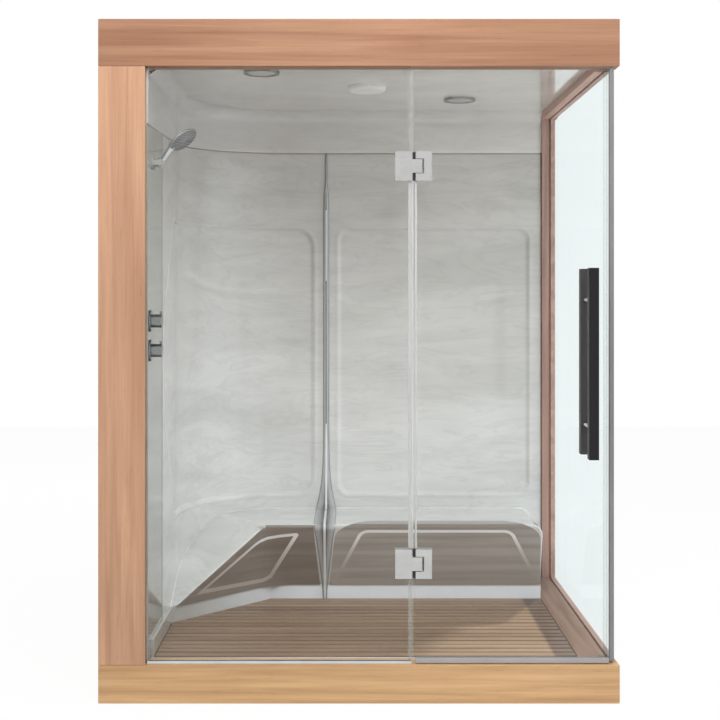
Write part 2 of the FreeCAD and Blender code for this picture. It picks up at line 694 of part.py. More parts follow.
# Plan places of the left seat's cut corner, along it (along) and square to it (across)
ACROSS_SKIRT = f"(({SKIRT_FRONT} - {SKIRT_BEND}) / sqrt(2))"
ACROSS_NOSE = f"({ACROSS_SKIRT} - corner_overhang)"
ACROSS_FAR = f"(({BACK_IN} - {WALL_IN}) / sqrt(2))"
ALONG_TOP = f"({NOSE_FRONT} * sqrt(2) - {ACROSS_NOSE})"
ALONG_LOW = f"({WALL_IN} * sqrt(2) + {ACROSS_NOSE})"
ALONG_FAR = f"(({SHELL_LEFT_END} + {BACK_IN}) / sqrt(2))"
RAMP_LOW = f"({SLAT_TOP} + ramp_end_height)"
SEAT_RIGHT_END = f"({RIGHT_SHELL_END} - right_seat_inset)"


def seat_profile(nose, skirt, back, inset):
    """Section of a seat from its nose to the wall, drawn in by the shell's thickness where inset says so."""
    return [
        (f"{nose} + {inset}", f"{SEAT_TOP} - {inset}"),
        (back, f"{SEAT_TOP} - {inset}"),
        (back, "plinth_height"),
        (f"{skirt} + skirt_thickness + {inset}", "plinth_height"),
        (f"{skirt} + skirt_thickness + {inset}", f"{SKIRT_TOP} - {inset}"),
        (f"{skirt} + {inset}", SKIRT_TOP),
        (f"{nose} + {inset}", LIP_LOW),
    ]


def left_seat_mass(label, inset, end):
    """The left seat's whole volume: a straight run, a run along the cut corner, and its ramp."""
    straight = prism(f"{label}_straight", "YZ_Plane", seat_profile(NOSE_FRONT, SKIRT_FRONT, BACK_IN, inset),
                     (WALL_IN, end))
    corner = prism(f"{label}_corner", "YZ_Plane", seat_profile(ACROSS_NOSE, ACROSS_SKIRT, ACROSS_FAR, inset),
                   (f"({ALONG_LOW} - corner_overhang)", ALONG_FAR), turned=True)
    ramp = prism(f"{label}_ramp", "XZ_Plane", [
        (ALONG_TOP, f"{SEAT_TOP} - {inset}"),
        (ALONG_TOP, f"{SEAT_TOP} + overrun"),
        (ALONG_LOW, f"{SEAT_TOP} + overrun"),
        (ALONG_LOW, f"{RAMP_LOW} - {inset}"),
    ], (ACROSS_FAR, f"({ACROSS_NOSE} - overrun)"), turned=True)
    return cut(f"{label}_fall", fused(f"{label}_runs", straight, corner), ramp)


def left_room(label, grow, end):
    """The space inside the left walls, with its round rear corner."""
    left_face = f"({WALL_IN} - {grow})"
    rear_face = f"({BACK_IN} + {grow})"
    space = prism(f"{label}_space", "XY_Plane", [
        (left_face, PANEL_REAR),
        (left_face, rear_face),
        (end, rear_face),
        (end, PANEL_REAR),
    ], ("plinth_height", f"({RIM_REAR} + overrun)"))
    radius = SIZES["corner_radius"] + (SIZES[grow] if grow in SIZES else 0)
    doc.recompute()
    low_x = space.Shape.BoundBox.XMin
    high_y = space.Shape.BoundBox.YMax
    return rounded(label, space, radius,
                   lambda a, b: abs(a.x - low_x) + abs(b.x - low_x)
                   + abs(a.y - high_y) + abs(b.y - high_y) < TINY)


TINY = 1e-3
HATCH_Y = (f"({NOSE_FRONT} - overrun)", f"({SKIRT_BACK} + shell_wall)")
HATCH_Z = (f"({SKIRT_TOP} + hatch_margin)", f"({LIP_LOW} - hatch_margin)")

# Left seat and back, one moulding with a hollow under the seat and a shallow recess round its back
left_seat = common("left_seat_trim", left_seat_mass("left_seat", "0", SHELL_LEFT_END),
                   left_room("left_seat_room", "0", SHELL_LEFT_END))
left_void = cut("left_void", left_room("left_air", "0", SHELL_LEFT_END), left_seat)
HOLLOW_END = f"({SHELL_LEFT_END} - shell_wall)"
left_hollow = common("left_hollow", left_seat_mass("left_under", "shell_wall", HOLLOW_END),
                     left_room("left_under_room", "0", HOLLOW_END))
LEFT_RECESS_X = (f"({WALL_OUT} - overrun)", f"({SHELL_LEFT_END} - recess_side)")
left_recess = common("left_recess", left_room("left_recess_room", "recess_depth", SHELL_LEFT_END),
                     block("left_recess_band", LEFT_RECESS_X,
                           (f"({PANEL_REAR} + left_recess_side)", f"({BACK_OUT} + overrun)"),
                           (f"({SEAT_TOP} + recess_low)", f"({RIM_REAR} - recess_top)")))
NOSE_BEND = f"({NOSE_FRONT} - {ACROSS_NOSE} * sqrt(2))"
left_hatch = block("left_hatch", (f"({NOSE_BEND} + hatch_margin)", f"({SHELL_LEFT_END} - hatch_margin)"),
                   HATCH_Y, HATCH_Z)
left_rim = prism("left_rim_trim", "YZ_Plane", ABOVE_RIM,
                 (f"({WALL_OUT} - overrun)", f"({SHELL_LEFT_END} + overrun)"))
left_walls = cut("left_walls", left_room("left_outer", "shell_wall", SHELL_LEFT_END), left_void)
node(cut("left_seat_shell", left_walls, left_hollow, left_recess, left_hatch, left_rim))


def right_seat_mass(label, inset, inset_value):
    """The right seat's whole volume, with its two upper side edges rounded."""
    mass = prism(f"{label}_run", "YZ_Plane", seat_profile(NOSE_FRONT, SKIRT_FRONT, BACK_IN, inset),
                 (f"({SHELL_RIGHT_START} + {inset})", f"({SEAT_RIGHT_END} - {inset})"))
    doc.recompute()
    top = mass.Shape.BoundBox.ZMax
    return rounded(label, mass, SIZES["seat_side_round"] - inset_value,
                   lambda a, b: abs(a.z - top) + abs(b.z - top) + abs(a.x - b.x) < TINY)


def rounded_field(label, x_span, y_span, z_span, radius):
    """A block whose four edges along Y are rounded."""
    return rounded(label, block(f"{label}_block", x_span, y_span, z_span), radius,
                   lambda a, b: abs(a.x - b.x) + abs(a.z - b.z) < TINY)


# Right seat and back
right_wall = block("right_back_wall", (SHELL_RIGHT_START, RIGHT_SHELL_END), (BACK_IN, BACK_OUT),
                   ("plinth_height", RIM_REAR))
right_recess = rounded_field("right_recess", (f"({SHELL_RIGHT_START} + recess_side)",
                                              f"({RIGHT_SHELL_END} - recess_right)"),
                             (f"({BACK_IN} - overrun)", f"({BACK_IN} + recess_depth)"),
                             (f"({SEAT_TOP} + recess_low)", f"({RIM_REAR} - recess_top)"), "recess_round")
right_hatch = block("right_hatch", (f"({SHELL_RIGHT_START} + seat_side_round + hatch_margin)",
                                    f"({SEAT_RIGHT_END} - seat_side_round - hatch_margin)"), HATCH_Y, HATCH_Z)
right_whole = fused("right_whole", right_wall, right_seat_mass("right_seat", "0", 0))
node(cut("right_seat_shell", right_whole, right_seat_mass("right_under", "shell_wall", SIZES["shell_wall"]),
         right_recess, right_hatch))

# Metal strip down the joint of the two shells, over the seat and down its front
STRIP_NECK = f"({RIM_REAR} - strip_neck_drop)"


def strip_outline(label, grow, y_span):
    """The strip's front view: a neck, a straight run, a flare at the seat and a foot."""
    right_edge = [
        ("strip_top_half", RIM_REAR),
        ("strip_top_half", STRIP_NECK),
        ("strip_half", f"{STRIP_NECK} - strip_flare_half"),
        ("strip_half", f"{SEAT_TOP} + strip_flare_rise"),
        ("strip_flare_half", SEAT_TOP),
        ("strip_foot_half", SLAT_TOP),
    ]
    points = [(f"{JOINT_X} + {half} + {grow}", height) for half, height in right_edge]
    points += [(f"{JOINT_X} - {half} - {grow}", height) for half, height in reversed(right_edge)]
    return prism(label, "XZ_Plane", points, y_span)


strip_path = prism("strip_path", "YZ_Plane", [
    (SKIRT_FRONT, SLAT_TOP),
    (SKIRT_FRONT, SKIRT_TOP),
    (NOSE_FRONT, LIP_LOW),
    (NOSE_FRONT, SEAT_TOP),
    (BACK_IN, SEAT_TOP),
    (BACK_IN, RIM_REAR),
    (f"{BACK_IN} - strip_thickness", RIM_REAR),
    (f"{BACK_IN} - strip_thickness", f"{SEAT_TOP} + strip_thickness"),
    (f"{NOSE_FRONT} - strip_thickness", f"{SEAT_TOP} + strip_thickness"),
    (f"{NOSE_FRONT} - strip_thickness", LIP_LOW),
    (f"{SKIRT_FRONT} - strip_thickness", SKIRT_TOP),
    (f"{SKIRT_FRONT} - strip_thickness", SLAT_TOP),
], (f"({JOINT_X} - strip_flare_half)", f"({JOINT_X} + strip_flare_half)"))
STRIP_Y = (BACK_IN, f"({NOSE_FRONT} - strip_thickness - overrun)")
node(common("joint_strip", strip_path, strip_outline("strip_shape", "0", STRIP_Y)))


def apron_profile(nose, skirt):
    """Section of an apron on the lip and the sloping front of a seat."""
    top = f"{SEAT_TOP} - apron_top_drop"
    return [
        (nose, top),
        (nose, LIP_LOW),
        (skirt, SKIRT_TOP),
        (f"{skirt} - apron_thickness", SKIRT_TOP),
        (f"{nose} - apron_thickness", LIP_LOW),
        (f"{nose} - apron_thickness", top),
    ]


# Removable aprons over the seat fronts
STRIP_REACH = (f"({BACK_IN} + overrun)", f"({NOSE_FRONT} - apron_thickness - overrun)")
left_apron_runs = fused(
    "left_apron_runs",
    prism("left_apron_straight", "YZ_Plane", apron_profile(NOSE_FRONT, SKIRT_FRONT),
          (WALL_IN, f"({SHELL_LEFT_END} - apron_clearance)")),
    prism("left_apron_corner", "YZ_Plane", apron_profile(ACROSS_NOSE, ACROSS_SKIRT),
          (f"({ALONG_LOW} - corner_overhang)", ALONG_FAR), turned=True))
left_apron_fall = prism("left_apron_fall", "XZ_Plane", [
    (ALONG_TOP, f"{SEAT_TOP} - apron_top_drop"),
    (ALONG_TOP, f"{SEAT_TOP} + overrun"),
    (ALONG_LOW, f"{SEAT_TOP} + overrun"),
    (ALONG_LOW, f"{RAMP_LOW} - apron_top_drop"),
], (ACROSS_FAR, f"({ACROSS_NOSE} - apron_thickness - overrun)"), turned=True)
left_apron_front = common("left_apron_front", left_apron_runs,
                          block("left_apron_band", (SKIRT_IN, SHELL_LEFT_END),
                                (PANEL_REAR, SKIRT_FRONT), (SKIRT_TOP, SEAT_TOP)))
node(cut("left_seat_apron", left_apron_front, left_seat_mass("left_apron_seat", "0", SHELL_LEFT_END),
         left_apron_fall, strip_outline("left_apron_strip", "apron_clearance", STRIP_REACH)))
right_apron_run = prism("right_apron_run", "YZ_Plane", apron_profile(NOSE_FRONT, SKIRT_FRONT),
                        (f"({SHELL_RIGHT_START} + apron_clearance)", SEAT_RIGHT_END))
right_apron_face = block("right_apron_face", (SHELL_RIGHT_START, SEAT_RIGHT_END),
                         (f"({NOSE_FRONT} - apron_thickness)", SKIRT_FRONT),
                         (SKIRT_TOP, f"({SEAT_TOP} - apron_top_drop)"))
doc.recompute()
apron_top = right_apron_face.Shape.BoundBox.ZMax
right_apron_round = rounded("right_apron_round", right_apron_face, "seat_side_round",
                            lambda a, b: abs(a.z - apron_top) + abs(b.z - apron_top) + abs(a.x - b.x) < TINY)
node(cut("right_seat_apron", common("right_apron_trim", right_apron_run, right_apron_round),
         strip_outline("right_apron_strip", "apron_clearance", STRIP_REACH)))


def dome_mass(label, grow, front, right, low, top):
    """The ceiling's volume: round rear left corner, then a fold round the top of the left and rear walls."""
    left_face = f"({WALL_IN} - {grow})"
    rear_face = f"({BACK_IN} + {grow})"
    mass = prism(f"{label}_mass", "XY_Plane", [
        (left_face, front),
        (left_face, rear_face),
        (right, rear_face),
        (right, front),
    ], (low, top))
    doc.recompute()
    extra = SIZES.get(grow, 0)
    box = mass.Shape.BoundBox
    corner = rounded(f"{label}_corner", mass, SIZES["corner_radius"] + extra,
                     lambda a, b: abs(a.x - box.XMin) + abs(b.x - box.XMin)
                     + abs(a.y - box.YMax) + abs(b.y - box.YMax) < TINY)

    def on_fold(a, b):
        high = abs(a.z - box.ZMax) + abs(b.z - box.ZMax) < TINY
        on_front = abs(a.y - box.YMin) + abs(b.y - box.YMin) < TINY
        on_right = abs(a.x - box.XMax) + abs(b.x - box.XMax) < TINY
        return high and not on_front and not on_right
    return rounded(label, corner, SIZES["dome_fold"] + extra, on_fold)


# Moulded ceiling, open to the front beam and to the right side frame
dome_out = dome_mass("dome_outer", "dome_wall", ROOF_BACK, SIDE_IN, RIM_FRONT,
                     f"({CEILING} + dome_wall)")
dome_in = dome_mass("dome_inner", "0", f"({ROOF_BACK} - overrun)", f"({SIDE_IN} + overrun)",
                    f"({RIM_FRONT} - overrun)", CEILING)
dome_rim = prism("dome_rim", "YZ_Plane", BELOW_RIM, (f"({WALL_OUT} - overrun)", f"({SIDE_IN} + overrun)"))
dome_cheek = block("dome_cheek", (POST_IN, WALL_IN), (PANEL_FRONT, ROOF_BACK),
                   (RIM_FRONT, ROOF_UNDER))
node(cut("ceiling_dome", fused("dome_whole", dome_out, dome_cheek), dome_in, dome_rim))

# Ceiling lights
LIGHT_SPOTS = (("left_light_x", "left_light_y"), ("right_light_x", "right_light_y"))
rings = []
lenses = []
LENS_RADIUS = "(downlight_radius - downlight_ring)"
for i, (light_x, light_y) in enumerate(LIGHT_SPOTS):
    ring = rod(f"ring_{i}", Z_AXIS, (light_x, light_y, f"{CEILING} - downlight_height"), "downlight_radius",
               "downlight_height")
    bore = rod(f"ring_bore_{i}", Z_AXIS, (light_x, light_y, f"{CEILING} - downlight_height - overrun"),
               LENS_RADIUS, "downlight_height + 2 * overrun")
    rings.append(cut(f"ring_cut_{i}", ring, bore))
    lenses.append(rod(f"lens_{i}", Z_AXIS, (light_x, light_y, f"{CEILING} - lens_height"),
                      f"{LENS_RADIUS} - fit_gap", "lens_height"))
node(group("downlight_rings", rings))
node(group("downlight_lenses", lenses))
lamp = rod("lamp_disc", Z_AXIS, ("lamp_x", "lamp_y", f"{CEILING} - lamp_height"), "lamp_radius", "lamp_height")
doc.recompute()
lamp_low = lamp.Shape.BoundBox.ZMin
lamp_item = doc.addObject("Part::Fillet", "ceiling_lamp")
lamp_item.Base = lamp
lamp_item.Edges = [(index, SIZES["lamp_round"], SIZES["lamp_round"])
                   for index, edge in enumerate(lamp.Shape.Edges, start=1)
                   if edge.BoundBox.ZMax - lamp_low < TINY]
node(lamp_item)


# Hinge places that the glass, the leaves and the seals share
HINGES = (("low", HINGE_LOW), ("high", HINGE_HIGH))
HALF_HINGE = "(hinge_height / 2)"
CUTOUT_HALF = f"({HALF_HINGE} - cutout_gap)"
CORE_HALF = f"({CUTOUT_HALF} - cutout_gap)"
NOTCH_HALF = "(tongue_half + notch_gap)"
LEAF_RIGHT = f"({FIXED_EDGE} + leaf_gap)"
LEAF_LEFT = f"({LEAF_RIGHT} - leaf_width)"
LEAF_CORE = f"({LEAF_LEFT} + leaf_clamp + cutout_gap)"
DOOR_LEAF_LEFT = f"({HINGE_X} - leaf_cover)"
DOOR_LEAF_RIGHT = f"({DOOR_LEAF_LEFT} + door_leaf_width)"
DOOR_LEAF_CORE = f"({DOOR_LEAF_RIGHT} - leaf_clamp - cutout_gap)"
PLATE_FRONT = (f"({GLASS_FRONT} - leaf_plate)", GLASS_FRONT)
PLATE_BACK = (GLASS_BACK, f"({GLASS_BACK} + leaf_plate)")
GLASS_SPAN = (GLASS_FRONT, GLASS_BACK)
CUT_SPAN = (f"({GLASS_FRONT} - leaf_plate - overrun)", f"({GLASS_BACK} + leaf_plate + overrun)")


def about(centre, half):
    """The span of a half height on each side of a centre."""
    return (f"({centre} - {half})", f"({centre} + {half})")


# Fixed front glass in its channel and grooves
FIXED_LEFT = f"({POST_IN} - glass_groove + groove_clearance)"
fixed_pane = block("fixed_pane", (FIXED_LEFT, FIXED_EDGE), GLASS_SPAN,
                   ("(plinth_height + channel_floor)", f"({ROOF_UNDER} + glass_groove - groove_clearance)"))
FIXED_CUTOUT = (f"({LEAF_LEFT} + leaf_clamp)", f"({FIXED_EDGE} + overrun)")
fixed_cutouts = [block(f"fixed_cutout_{tag}", FIXED_CUTOUT, CUT_SPAN, about(height, CUTOUT_HALF))
                 for tag, height in HINGES]
node(cut("fixed_glass", fixed_pane, *fixed_cutouts))
CHANNEL_TOP = "(plinth_height + channel_height)"
channel_bar = block("channel_bar", (WALL_IN, FIXED_EDGE),
                    (f"({GLASS_FRONT} - channel_wall)", f"({GLASS_BACK} + channel_wall)"),
                    ("plinth_height", CHANNEL_TOP))
channel_slot = block("channel_slot", (f"({WALL_IN} - overrun)", f"({FIXED_EDGE} + overrun)"), GLASS_SPAN,
                     ("(plinth_height + channel_floor)", f"({CHANNEL_TOP} + overrun)"))
node(cut("fixed_glass_channel", channel_bar, channel_slot))

# Door glass with its hinge cut-outs and handle holes
HANDLE_X = f"({DOOR_RIGHT} - handle_inset)"
STANDOFFS = (("low", f"({HANDLE_Z} - standoff_spacing / 2)"), ("high", f"({HANDLE_Z} + standoff_spacing / 2)"))
door_pane = block("door_pane", (DOOR_EDGE, DOOR_RIGHT), GLASS_SPAN, (DOOR_FOOT, DOOR_HEAD))
DOOR_CUTOUT = (f"({DOOR_EDGE} - overrun)", f"({DOOR_LEAF_RIGHT} - leaf_clamp)")
door_cuts = [block(f"door_cutout_{tag}", DOOR_CUTOUT, CUT_SPAN, about(height, CUTOUT_HALF))
             for tag, height in HINGES]
door_cuts += [rod(f"door_hole_{tag}", Y_AXIS, (HANDLE_X, f"{GLASS_FRONT} - overrun", height),
                  "standoff_radius + standoff_gap", "glass_thickness + 2 * overrun")
              for tag, height in STANDOFFS]
node(cut("door_glass", door_pane, *door_cuts))


def hinge_bore(label, height, half):
    """The upright hole for a hinge pin."""
    return rod(label, Z_AXIS, (HINGE_X, GLASS_MID, f"{height} - {half} - overrun"),
               "pin_radius + running_gap", f"2 * ({half} + overrun)")


def fixed_leaf(tag, height):
    """The leaf on the fixed glass, with the tongue that the pin runs through."""
    plate = block(f"fixed_leaf_plate_{tag}", (LEAF_LEFT, LEAF_RIGHT), PLATE_FRONT, about(height, HALF_HINGE))
    core = block(f"fixed_leaf_core_{tag}", (LEAF_CORE, LEAF_RIGHT), GLASS_SPAN, about(height, CORE_HALF))
    tongue = block(f"fixed_leaf_tongue_{tag}", (LEAF_RIGHT, f"({HINGE_X} + tongue_reach)"),
                   (f"({PLATE_FRONT[0]} + tongue_inset)", f"({PLATE_BACK[1]} - tongue_inset)"),
                   about(height, "tongue_half"))
    whole = fused(f"fixed_leaf_whole_{tag}", plate, core, tongue)
    return cut(f"fixed_leaf_{tag}", whole, hinge_bore(f"fixed_leaf_bore_{tag}", height, "tongue_half"))


def door_notch(label, height):
    """The room that the tongue needs in the door's leaf."""
    return block(label, (f"({DOOR_LEAF_LEFT} - overrun)", f"({HINGE_X} + notch_reach)"), CUT_SPAN,
                 about(height, NOTCH_HALF))


def door_leaf(tag, height):
    """The leaf on the door, notched round the tongue, with arms that hold the pin."""
    plate = block(f"door_leaf_plate_{tag}", (DOOR_LEAF_LEFT, DOOR_LEAF_RIGHT), PLATE_FRONT,
                  about(height, HALF_HINGE))
    core = block(f"door_leaf_core_{tag}", (DOOR_LEAF_LEFT, DOOR_LEAF_CORE), GLASS_SPAN,
                 about(height, CORE_HALF))
    whole = fused(f"door_leaf_whole_{tag}", plate, core)
    return cut(f"door_leaf_{tag}", whole, door_notch(f"door_leaf_notch_{tag}", height),
               hinge_bore(f"door_leaf_bore_{tag}", height, CORE_HALF))


def back_plate(label, x_span, height):
    """The clamp plate on the inner side of the glass."""
    return block(label, x_span, PLATE_BACK, about(height, HALF_HINGE))


def screw_heads(tag, x):
    """Two screw heads on a clamp plate of each hinge."""
    return [rod(f"{tag}_screw_{hinge}_{side}", Y_AXIS,
                (x, PLATE_BACK[1], f"{height} + {side} * screw_spacing / 2"), "screw_radius", "screw_head")
            for hinge, height in HINGES for side in (-1, 1)]


node(group("hinge_fixed_leaves", [fixed_leaf(*hinge) for hinge in HINGES]))
node(group("hinge_fixed_plates", [back_plate(f"fixed_back_{tag}", (LEAF_LEFT, LEAF_RIGHT), height)
                                  for tag, height in HINGES]))
node(group("hinge_fixed_screws", screw_heads("fixed", f"({LEAF_LEFT} + leaf_width / 2)")))
node(group("hinge_door_leaves", [door_leaf(*hinge) for hinge in HINGES]))
node(group("hinge_door_plates", [
    cut(f"door_back_cut_{tag}", back_plate(f"door_back_{tag}", (DOOR_LEAF_LEFT, DOOR_LEAF_RIGHT), height),
        door_notch(f"door_back_notch_{tag}", height)) for tag, height in HINGES]))
node(group("hinge_door_screws", screw_heads("door", f"({DOOR_LEAF_RIGHT} - leaf_clamp / 2)")))
node(group("hinge_pins", [rod(f"hinge_pin_{tag}", Z_AXIS,
                              (HINGE_X, GLASS_MID, f"{height} - {CORE_HALF} + pin_end_gap"),
                              "pin_radius", f"2 * ({CORE_HALF} - pin_end_gap)") for tag, height in HINGES]))

# Seals: on the fixed glass beside the door, on the door's free edge and under the door
seal_spans = [(CHANNEL_TOP, f"({HINGE_LOW} - {HALF_HINGE} - cutout_gap)"),
              (f"({HINGE_LOW} + {HALF_HINGE} + cutout_gap)", f"({HINGE_HIGH} - {HALF_HINGE} - cutout_gap)"),
              (f"({HINGE_HIGH} + {HALF_HINGE} + cutout_gap)", ROOF_UNDER)]
seals = []
for i, span in enumerate(seal_spans):
    seal = block(f"hinge_seal_bar_{i}", (f"({FIXED_EDGE} - seal_reach)", f"({FIXED_EDGE} + seal_bulb)"),
                 (f"({GLASS_FRONT} - seal_wall)", f"({GLASS_BACK} + seal_wall)"), span)
    slot = block(f"hinge_seal_slot_{i}", (f"({FIXED_EDGE} - seal_reach - overrun)", FIXED_EDGE),
                 GLASS_SPAN, (f"({span[0]} - overrun)", f"({span[1]} + overrun)"))
    seals.append(cut(f"hinge_seal_{i}", seal, slot))
node(group("hinge_side_seals", seals))
strike = block("strike_bar", (f"({DOOR_RIGHT} - strike_reach)", f"({DOOR_RIGHT} + strike_bulb)"),
               (f"({GLASS_FRONT} - strike_wall)", f"({GLASS_BACK} + strike_wall)"), (DOOR_FOOT, DOOR_HEAD))
strike_slot = block("strike_slot", (f"({DOOR_RIGHT} - strike_reach - overrun)", DOOR_RIGHT), GLASS_SPAN,
                    (f"({DOOR_FOOT} - overrun)", f"({DOOR_HEAD} + overrun)"))
node(cut("strike_seal", strike, strike_slot))
SWEEP_X = (f"({DOOR_EDGE} + leaf_gap)", f"({DOOR_RIGHT} - strike_reach - leaf_gap)")
sweep = block("sweep_bar", SWEEP_X, (f"({GLASS_FRONT} - sweep_wall)", f"({GLASS_BACK} + sweep_wall)"),
              (f"({DOOR_FOOT} - sweep_drop)", f"({DOOR_FOOT} + sweep_reach)"))
sweep_slot = block("sweep_slot", (f"({DOOR_EDGE} - overrun)", DOOR_RIGHT), GLASS_SPAN,
                   (DOOR_FOOT, f"({DOOR_FOOT} + sweep_reach + overrun)"))
node(cut("door_sweep", sweep, sweep_slot))

# Door pull: a square bar on each side and two standoffs through the glass
HANDLE_SPAN = about(HANDLE_X, "handle_side / 2")
HANDLE_RISE = about(HANDLE_Z, "handle_length / 2")
OUTER_BACK = f"({GLASS_FRONT} - handle_standoff)"
INNER_FRONT = f"({GLASS_BACK} + handle_standoff)"
node(block("outer_handle_bar", HANDLE_SPAN, (f"({OUTER_BACK} - handle_side)", OUTER_BACK), HANDLE_RISE))
node(block("inner_handle_bar", HANDLE_SPAN, (INNER_FRONT, f"({INNER_FRONT} + handle_side)"), HANDLE_RISE))
node(group("handle_standoffs", [rod(f"standoff_{tag}", Y_AXIS, (HANDLE_X, OUTER_BACK, height),
                                    "standoff_radius", "2 * handle_standoff + glass_thickness")
                                for tag, height in STANDOFFS]))

# Wall valves: plates, knobs that turn on their stems, and the valve body with its pipes behind the wall
KNOBS = (("lower", "knob_low"), ("upper", "knob_high"))
PLATE_FACE = f"({WALL_IN} + escutcheon_thickness)"
KNOB_BACK = f"({PLATE_FACE} + knob_gap)"
KNOB_FACE = f"({KNOB_BACK} + knob_length)"


def knob(tag, height):
    """A round knob with a short lever, on the stem that it turns."""
    grip = rod(f"{tag}_knob_grip", X_AXIS, (KNOB_BACK, KNOB_Y, height), "knob_radius", "knob_length")
    lever = block(f"{tag}_knob_lever", (f"({KNOB_FACE} - knob_lever_width)", KNOB_FACE),
                  about(KNOB_Y, "knob_lever_width / 2"),
                  (height, f"({height} + knob_radius + knob_lever_reach)"))
    stem = rod(f"{tag}_knob_stem", X_AXIS, (f"{POST_IN} + knob_gap", KNOB_Y, height), "stem_radius",
               f"{KNOB_BACK} - {POST_IN} - knob_gap")
    return fused(f"{tag}_knob", grip, lever, stem)


for tag, height in KNOBS:
    node(knob(tag, height))
escutcheons = []
for tag, height in KNOBS:
    plate = rod(f"escutcheon_disc_{tag}", X_AXIS, (WALL_IN, KNOB_Y, height), "escutcheon_radius",
                "escutcheon_thickness")
    hole = rod(f"escutcheon_hole_{tag}", X_AXIS, (f"{WALL_IN} - overrun", KNOB_Y, height),
               "stem_radius + running_gap", "escutcheon_thickness + 2 * overrun")
    escutcheons.append(cut(f"escutcheon_{tag}", plate, hole))
node(group("knob_plates", escutcheons))
PIPE_X = f"({POST_IN} - valve_length / 2)"
COLD_Y = f"({KNOB_Y} + inlet_offset)"
HOT_Y = f"({COLD_Y} + inlet_offset)"
INLET_TOP = "(knob_low - valve_radius - inlet_rise)"
INLET_LOW = f"({INLET_TOP} - inlet_length)"
valve = [rod(f"valve_{tag}", X_AXIS, (f"{POST_IN} - valve_length", KNOB_Y, height), "valve_radius",
             "valve_length") for tag, height in KNOBS]
INLETS = (("cold", COLD_Y, "knob_low"), ("hot", HOT_Y, "knob_high"))
ELBOWS = (("riser", KNOB_Y, SHOWER_Z), ("outlet", SHOWER_Y, SHOWER_Z), *INLETS)
valve += [block(f"elbow_{tag}", about(PIPE_X, "elbow_half"), about(y, "elbow_half"), about(z, "elbow_half"))
          for tag, y, z in ELBOWS]
valve += [
    rod("valve_riser", Z_AXIS, (PIPE_X, KNOB_Y, "knob_low"), "riser_radius",
        f"{SHOWER_Z} - elbow_half - knob_low"),
    rod("valve_feed", Y_AXIS, (PIPE_X, f"{KNOB_Y} + elbow_half", SHOWER_Z), "riser_radius",
        f"{SHOWER_Y} - {KNOB_Y} - 2 * elbow_half"),
    rod("valve_outlet", X_AXIS, (f"{PIPE_X} + elbow_half", SHOWER_Y, SHOWER_Z), "riser_radius",
        "valve_length / 2 - elbow_half"),
]
for tag, y, z in INLETS:
    valve += [
        rod(f"cross_{tag}", Y_AXIS, (PIPE_X, f"{KNOB_Y} + elbow_half", z), "riser_radius",
            f"{y} - {KNOB_Y} - 2 * elbow_half"),
        rod(f"drop_{tag}", Z_AXIS, (PIPE_X, y, INLET_TOP), "riser_radius", f"{z} - elbow_half - {INLET_TOP}"),
        rod(f"inlet_{tag}", Z_AXIS, (PIPE_X, y, INLET_LOW), "inlet_radius", "inlet_length"),
    ]
node(fused("valve_body", *valve))

# Hand shower: wall bracket with two ears, a socket that tilts between them, and the handset that lifts out
SOCKET_X = f"({WALL_IN} + socket_reach)"
LEAN = f"{HANDSET_LEAN} deg"
SPRAY = f"{SPRAY_LEAN} deg"
STEM_AXIS = FreeCAD.Vector(math.sin(math.radians(HANDSET_LEAN)), 0, math.cos(math.radians(HANDSET_LEAN)))
SPRAY_AXIS = FreeCAD.Vector(-math.cos(math.radians(SPRAY_LEAN)), 0, math.sin(math.radians(SPRAY_LEAN)))


def along_stem(distance):
    """A point of the hand shower's stem at a distance from the socket's centre."""
    return (f"{SOCKET_X} + sin({LEAN}) * ({distance})", SHOWER_Y, f"{SHOWER_Z} + cos({LEAN}) * ({distance})")


EAR_GAP = "(socket_radius + socket_gap)"
EAR_X = (f"({WALL_IN} + bracket_plate)", f"({SOCKET_X} + bracket_post)")
ears = []
for side in (-1, 1):
    near = f"({SHOWER_Y} + {side} * {EAR_GAP})"
    far = f"({SHOWER_Y} + {side} * ({EAR_GAP} + bracket_plate))"
    span = (far, near) if side < 0 else (near, far)
    ears.append(block(f"bracket_ear_{side + 1}", EAR_X, span, about(SHOWER_Z, "bracket_post")))
bracket_disc = rod("bracket_disc", X_AXIS, (WALL_IN, SHOWER_Y, SHOWER_Z), f"{EAR_GAP} + bracket_plate",
                   "bracket_plate")
trunnion_hole = rod("bracket_hole", Y_AXIS, (SOCKET_X, f"{SHOWER_Y} - bracket_radius - overrun", SHOWER_Z),
                    "trunnion_radius + running_gap", "2 * (bracket_radius + overrun)")
node(cut("shower_bracket", fused("bracket_whole", bracket_disc, *ears), trunnion_hole))
socket_barrel = rod("socket_barrel", STEM_AXIS, along_stem("-socket_height / 2"), "socket_radius",
                    "socket_height")
trunnion = rod("socket_trunnion", Y_AXIS, (SOCKET_X, f"{SHOWER_Y} - bracket_radius", SHOWER_Z),
               "trunnion_radius", "2 * bracket_radius")
socket_bore = rod("socket_bore", STEM_AXIS, along_stem("-socket_height"), "handle_radius + handset_gap",
                  "2 * socket_height")
node(cut("shower_socket", fused("socket_whole", socket_barrel, trunnion), socket_bore))
STEM_SEAT = "(socket_height / 2 + handset_gap)"
stem_low = rod("handset_tail", STEM_AXIS, along_stem("-handset_tail"), "handle_radius",
               f"handset_tail + {STEM_SEAT}")
stem_high = rod("handset_stem", STEM_AXIS, along_stem(STEM_SEAT), "handle_radius + handset_collar",
                f"handset_length - {STEM_SEAT}")
stem_end = along_stem("handset_length")
REACH = "(handset_head - handset_collar)"
HALF_HEAD = "(handset_head_thickness / 2)"
